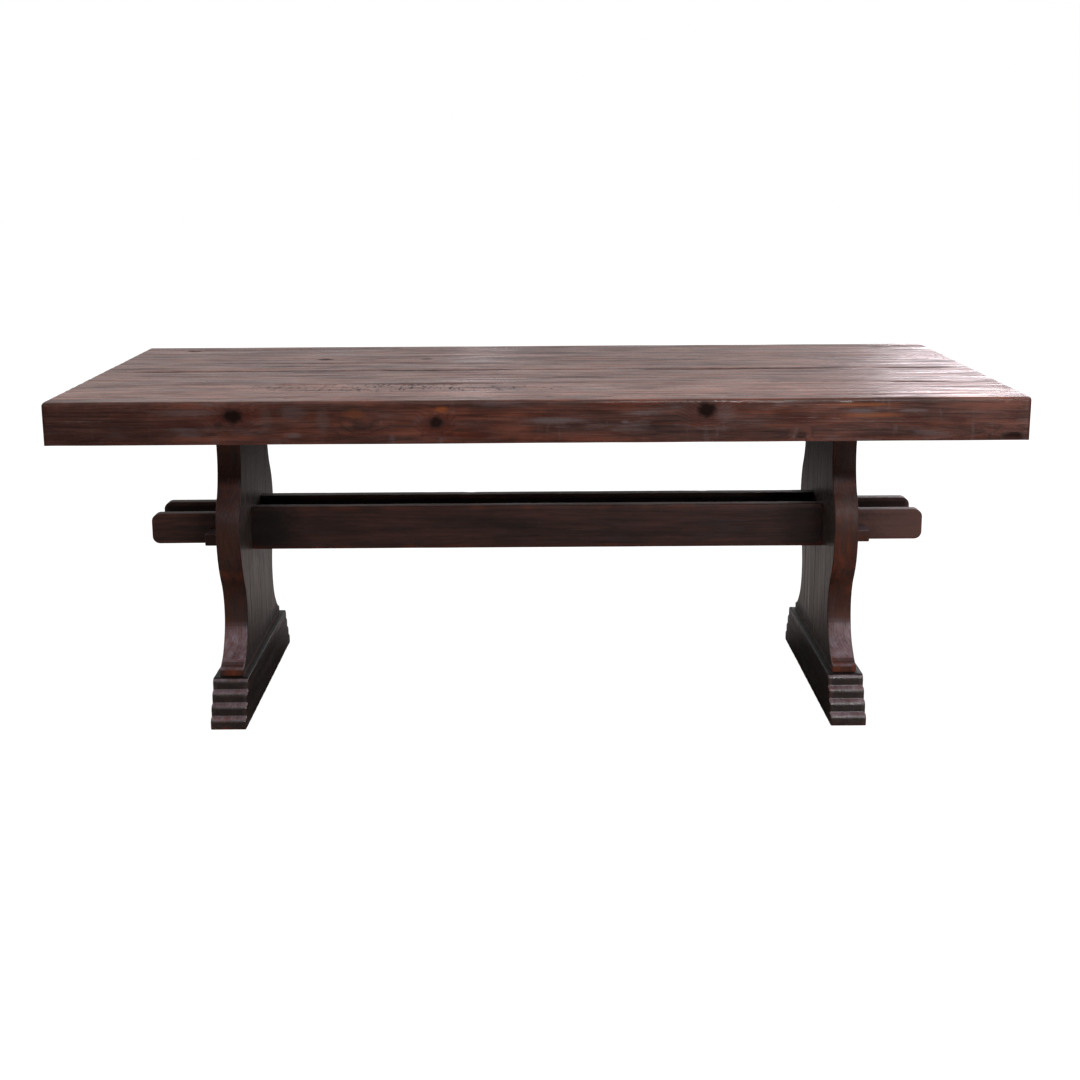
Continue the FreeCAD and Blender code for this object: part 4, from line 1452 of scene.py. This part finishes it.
# --- The studio ---
@dataclass
class Studio:
    """White floor and surroundings, a soft light in front and above, and the camera."""

    floor_size: float = 60.0
    room: tuple[tuple[float, str], ...] = (
        (0.0, "#1d1d1d"), (0.1, "#1d1d1d"), (0.13, "#b6b6b6"), (0.27, "#b6b6b6"), (0.31, "#b4b4b4"),
        (0.7, "#b4b4b4"), (0.74, "#e8e8e8"), (0.84, "#e8e8e8"), (0.88, "#a2a2a2"),
    )  # brightness from low in front, over the top, to low behind
    room_level: float = 1.6
    floor_shade_reach: float = 4.0  # metres that the tones on the floor stand for
    floor_painted_shade: tuple[tuple[float, str], ...] = (
        (0.0, "#2f2d2c"), (0.17, "#2f2d2c"), (0.22, "#b1a9a6"), (0.35, "#b1a9a6"), (0.8, "#343231"),
    )  # painted shadow under the table, dim far away and pale between, seen only by bounced light and reflections
    floor_glow: float = 1.25
    floor_share: float = 0.78
    camera_place: Triple = (-0.00527, -3.92788, 1.24616)
    yaw: float = 0.00301
    pitch: float = 0.22385
    roll: float = -0.00578
    lens: float = 56.062
    sensor: float = 36.0

    def build_world(self) -> None:
        """Surround the table with white: a soft ceiling, dark low in front and dimmer high behind."""
        world = bpy.data.worlds.new("white_studio")
        bpy.context.scene.world = world
        world.use_nodes = True
        tree = world.node_tree
        tree.nodes.clear()
        direction = add_node(tree, "TexCoord", out="Generated")
        ahead = add_node(tree, "SeparateXYZ", {"Vector": direction}, out="Y")
        ahead = add_node(tree, "Math", {0: ahead, 1: -1.0}, operation="MULTIPLY")
        up = add_node(tree, "SeparateXYZ", {"Vector": direction}, out="Z")
        turn = add_node(tree, "Math", {0: up, 1: ahead}, operation="ARCTAN2")
        turn = add_node(tree, "Math", {0: turn, 1: 1 / math.pi}, operation="MULTIPLY")
        room = add_node(tree, "ValToRGB", {"Fac": turn}, stops=self.room)
        room = add_node(tree, "Math", {0: room, 1: self.room_level}, operation="MULTIPLY")
        seen = add_node(tree, "LightPath", out="Is Camera Ray")
        strength = add_node(tree, "Mix", {0: seen, 2: room, 3: 1.0}, data_type="FLOAT")
        glow = add_node(tree, "Background", {"Color": linear("#ffffff"), "Strength": strength})
        add_node(tree, "OutputWorld", {"Surface": glow})

    def build_floor(self) -> None:
        """Lay the pale floor."""
        mesh = bmesh.new()
        bmesh.ops.create_grid(mesh, x_segments=1, y_segments=1, size=self.floor_size / 2)
        data = bpy.data.meshes.new("floor")
        mesh.to_mesh(data)
        mesh.free()
        floor = put_in_scene("floor", data)
        material, tree = new_material("white_floor")
        seen = add_node(tree, "LightPath", out="Is Camera Ray")
        place = add_node(tree, "TexCoord", out="Object")
        away = add_node(tree, "VectorMath", {0: place}, out="Value", operation="LENGTH")
        away = add_node(tree, "Math", {0: away, 1: 1 / self.floor_shade_reach}, operation="MULTIPLY")
        # the floor's tones for bounced light and reflections, with a painted shadow under the table
        floor_painted_shade = add_node(tree, "ValToRGB", {"Fac": away}, stops=self.floor_painted_shade)
        tone = add_node(tree, "MixRGB", {"Fac": seen, "Color1": floor_painted_shade, "Color2": linear("#d0d0d0")})
        matt = add_node(tree, "BsdfDiffuse", {"Color": tone})
        glow = add_node(tree, "Emission", {"Color": linear("#ffffff"), "Strength": self.floor_glow})
        share = add_node(tree, "Math", {0: seen, 1: self.floor_share}, operation="MULTIPLY")
        shader = add_node(tree, "MixShader", {0: share, 1: matt, 2: glow})
        add_node(tree, "OutputMaterial", {"Surface": shader})
        data.materials.append(material)

    def add_lamp(
        self, name: str, place: Triple, aim: Triple, size: tuple[float, float], power: float,
        colour: str = "#ffffff",
    ) -> None:
        """Hang a soft box.

        Args:
            name: Its name.
            place: Where it hangs.
            aim: What it points at.
            size: Its width and height.
            power: Its power in watts.
            colour: Its hue.
        """
        data = bpy.data.lights.new(name, "AREA")
        data.shape = "RECTANGLE"
        data.size, data.size_y = size
        data.energy = power
        data.color = linear(colour)[:3]
        lamp = put_in_scene(name, data)
        lamp.location = place
        lamp.rotation_euler = (Vector(aim) - Vector(place)).to_track_quat("-Z", "Y").to_euler()
        lamp.visible_camera = False

    def build_lights(self) -> None:
        """Hang four lights in front, and two behind for the gloss on the top."""
        self.add_lamp("key", (0.9, -2.8, 1.74), (0.4, 0.0, 0.35), (1.0, 0.16), 33.0)
        self.add_lamp("high_right", (2.1, -1.8, 3.0), (0.8, -0.5, 0.72), (0.8, 0.8), 19.0)
        self.add_lamp("fill", (2.4, -3.4, 0.85), (0.3, 0.0, 0.4), (1.2, 0.9), 15.0)
        self.add_lamp("low_left", (-1.8, -3.4, 0.55), (-0.5, 0.0, 0.4), (0.4, 0.5), 2.0)
        self.add_lamp("gloss", (3.0, 5.5, 1.75), (0.8, 0.0, 0.76), (2.0, 1.5), 52.0, "#fff4fb")
        self.add_lamp("glimmer", (-0.32, 5.5, 1.3), (-0.16, 0.4, 0.76), (0.3, 0.4), 0.6, "#fff4fb")

    def build_camera(self) -> None:
        """Set up the camera in front of the table."""
        data = bpy.data.cameras.new("camera")
        data.lens = self.lens
        data.sensor_width = self.sensor
        data.sensor_fit = "HORIZONTAL"
        camera = put_in_scene("camera", data)
        turn = Matrix.Rotation(-self.yaw, 4, "Z")
        tilt = Matrix.Rotation(math.pi / 2 - self.pitch, 4, "X")
        lean = Matrix.Rotation(self.roll, 4, "Z")
        camera.matrix_world = Matrix.Translation(self.camera_place) @ turn @ tilt @ lean
        bpy.context.scene.camera = camera

    def build(self) -> None:
        """Set up the studio."""
        bpy.context.scene.view_settings.view_transform = "Standard"
        self.build_world()
        self.build_floor()
        self.build_lights()
        self.build_camera()


def main() -> None:
    """Build the table's looks round the CAD frame."""
    logging.basicConfig(level=logging.INFO, format="%(name)s: %(message)s")
    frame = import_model()
    TableTop().build()
    for side, sign in (("left", -1), ("right", 1)):
        Trestle(side, sign).build()
        Key(side, sign).build()
    Rails().build()
    Joinery(frame["nodes"]).build()
    Studio().build()


if __name__ == "__main__":
    main()
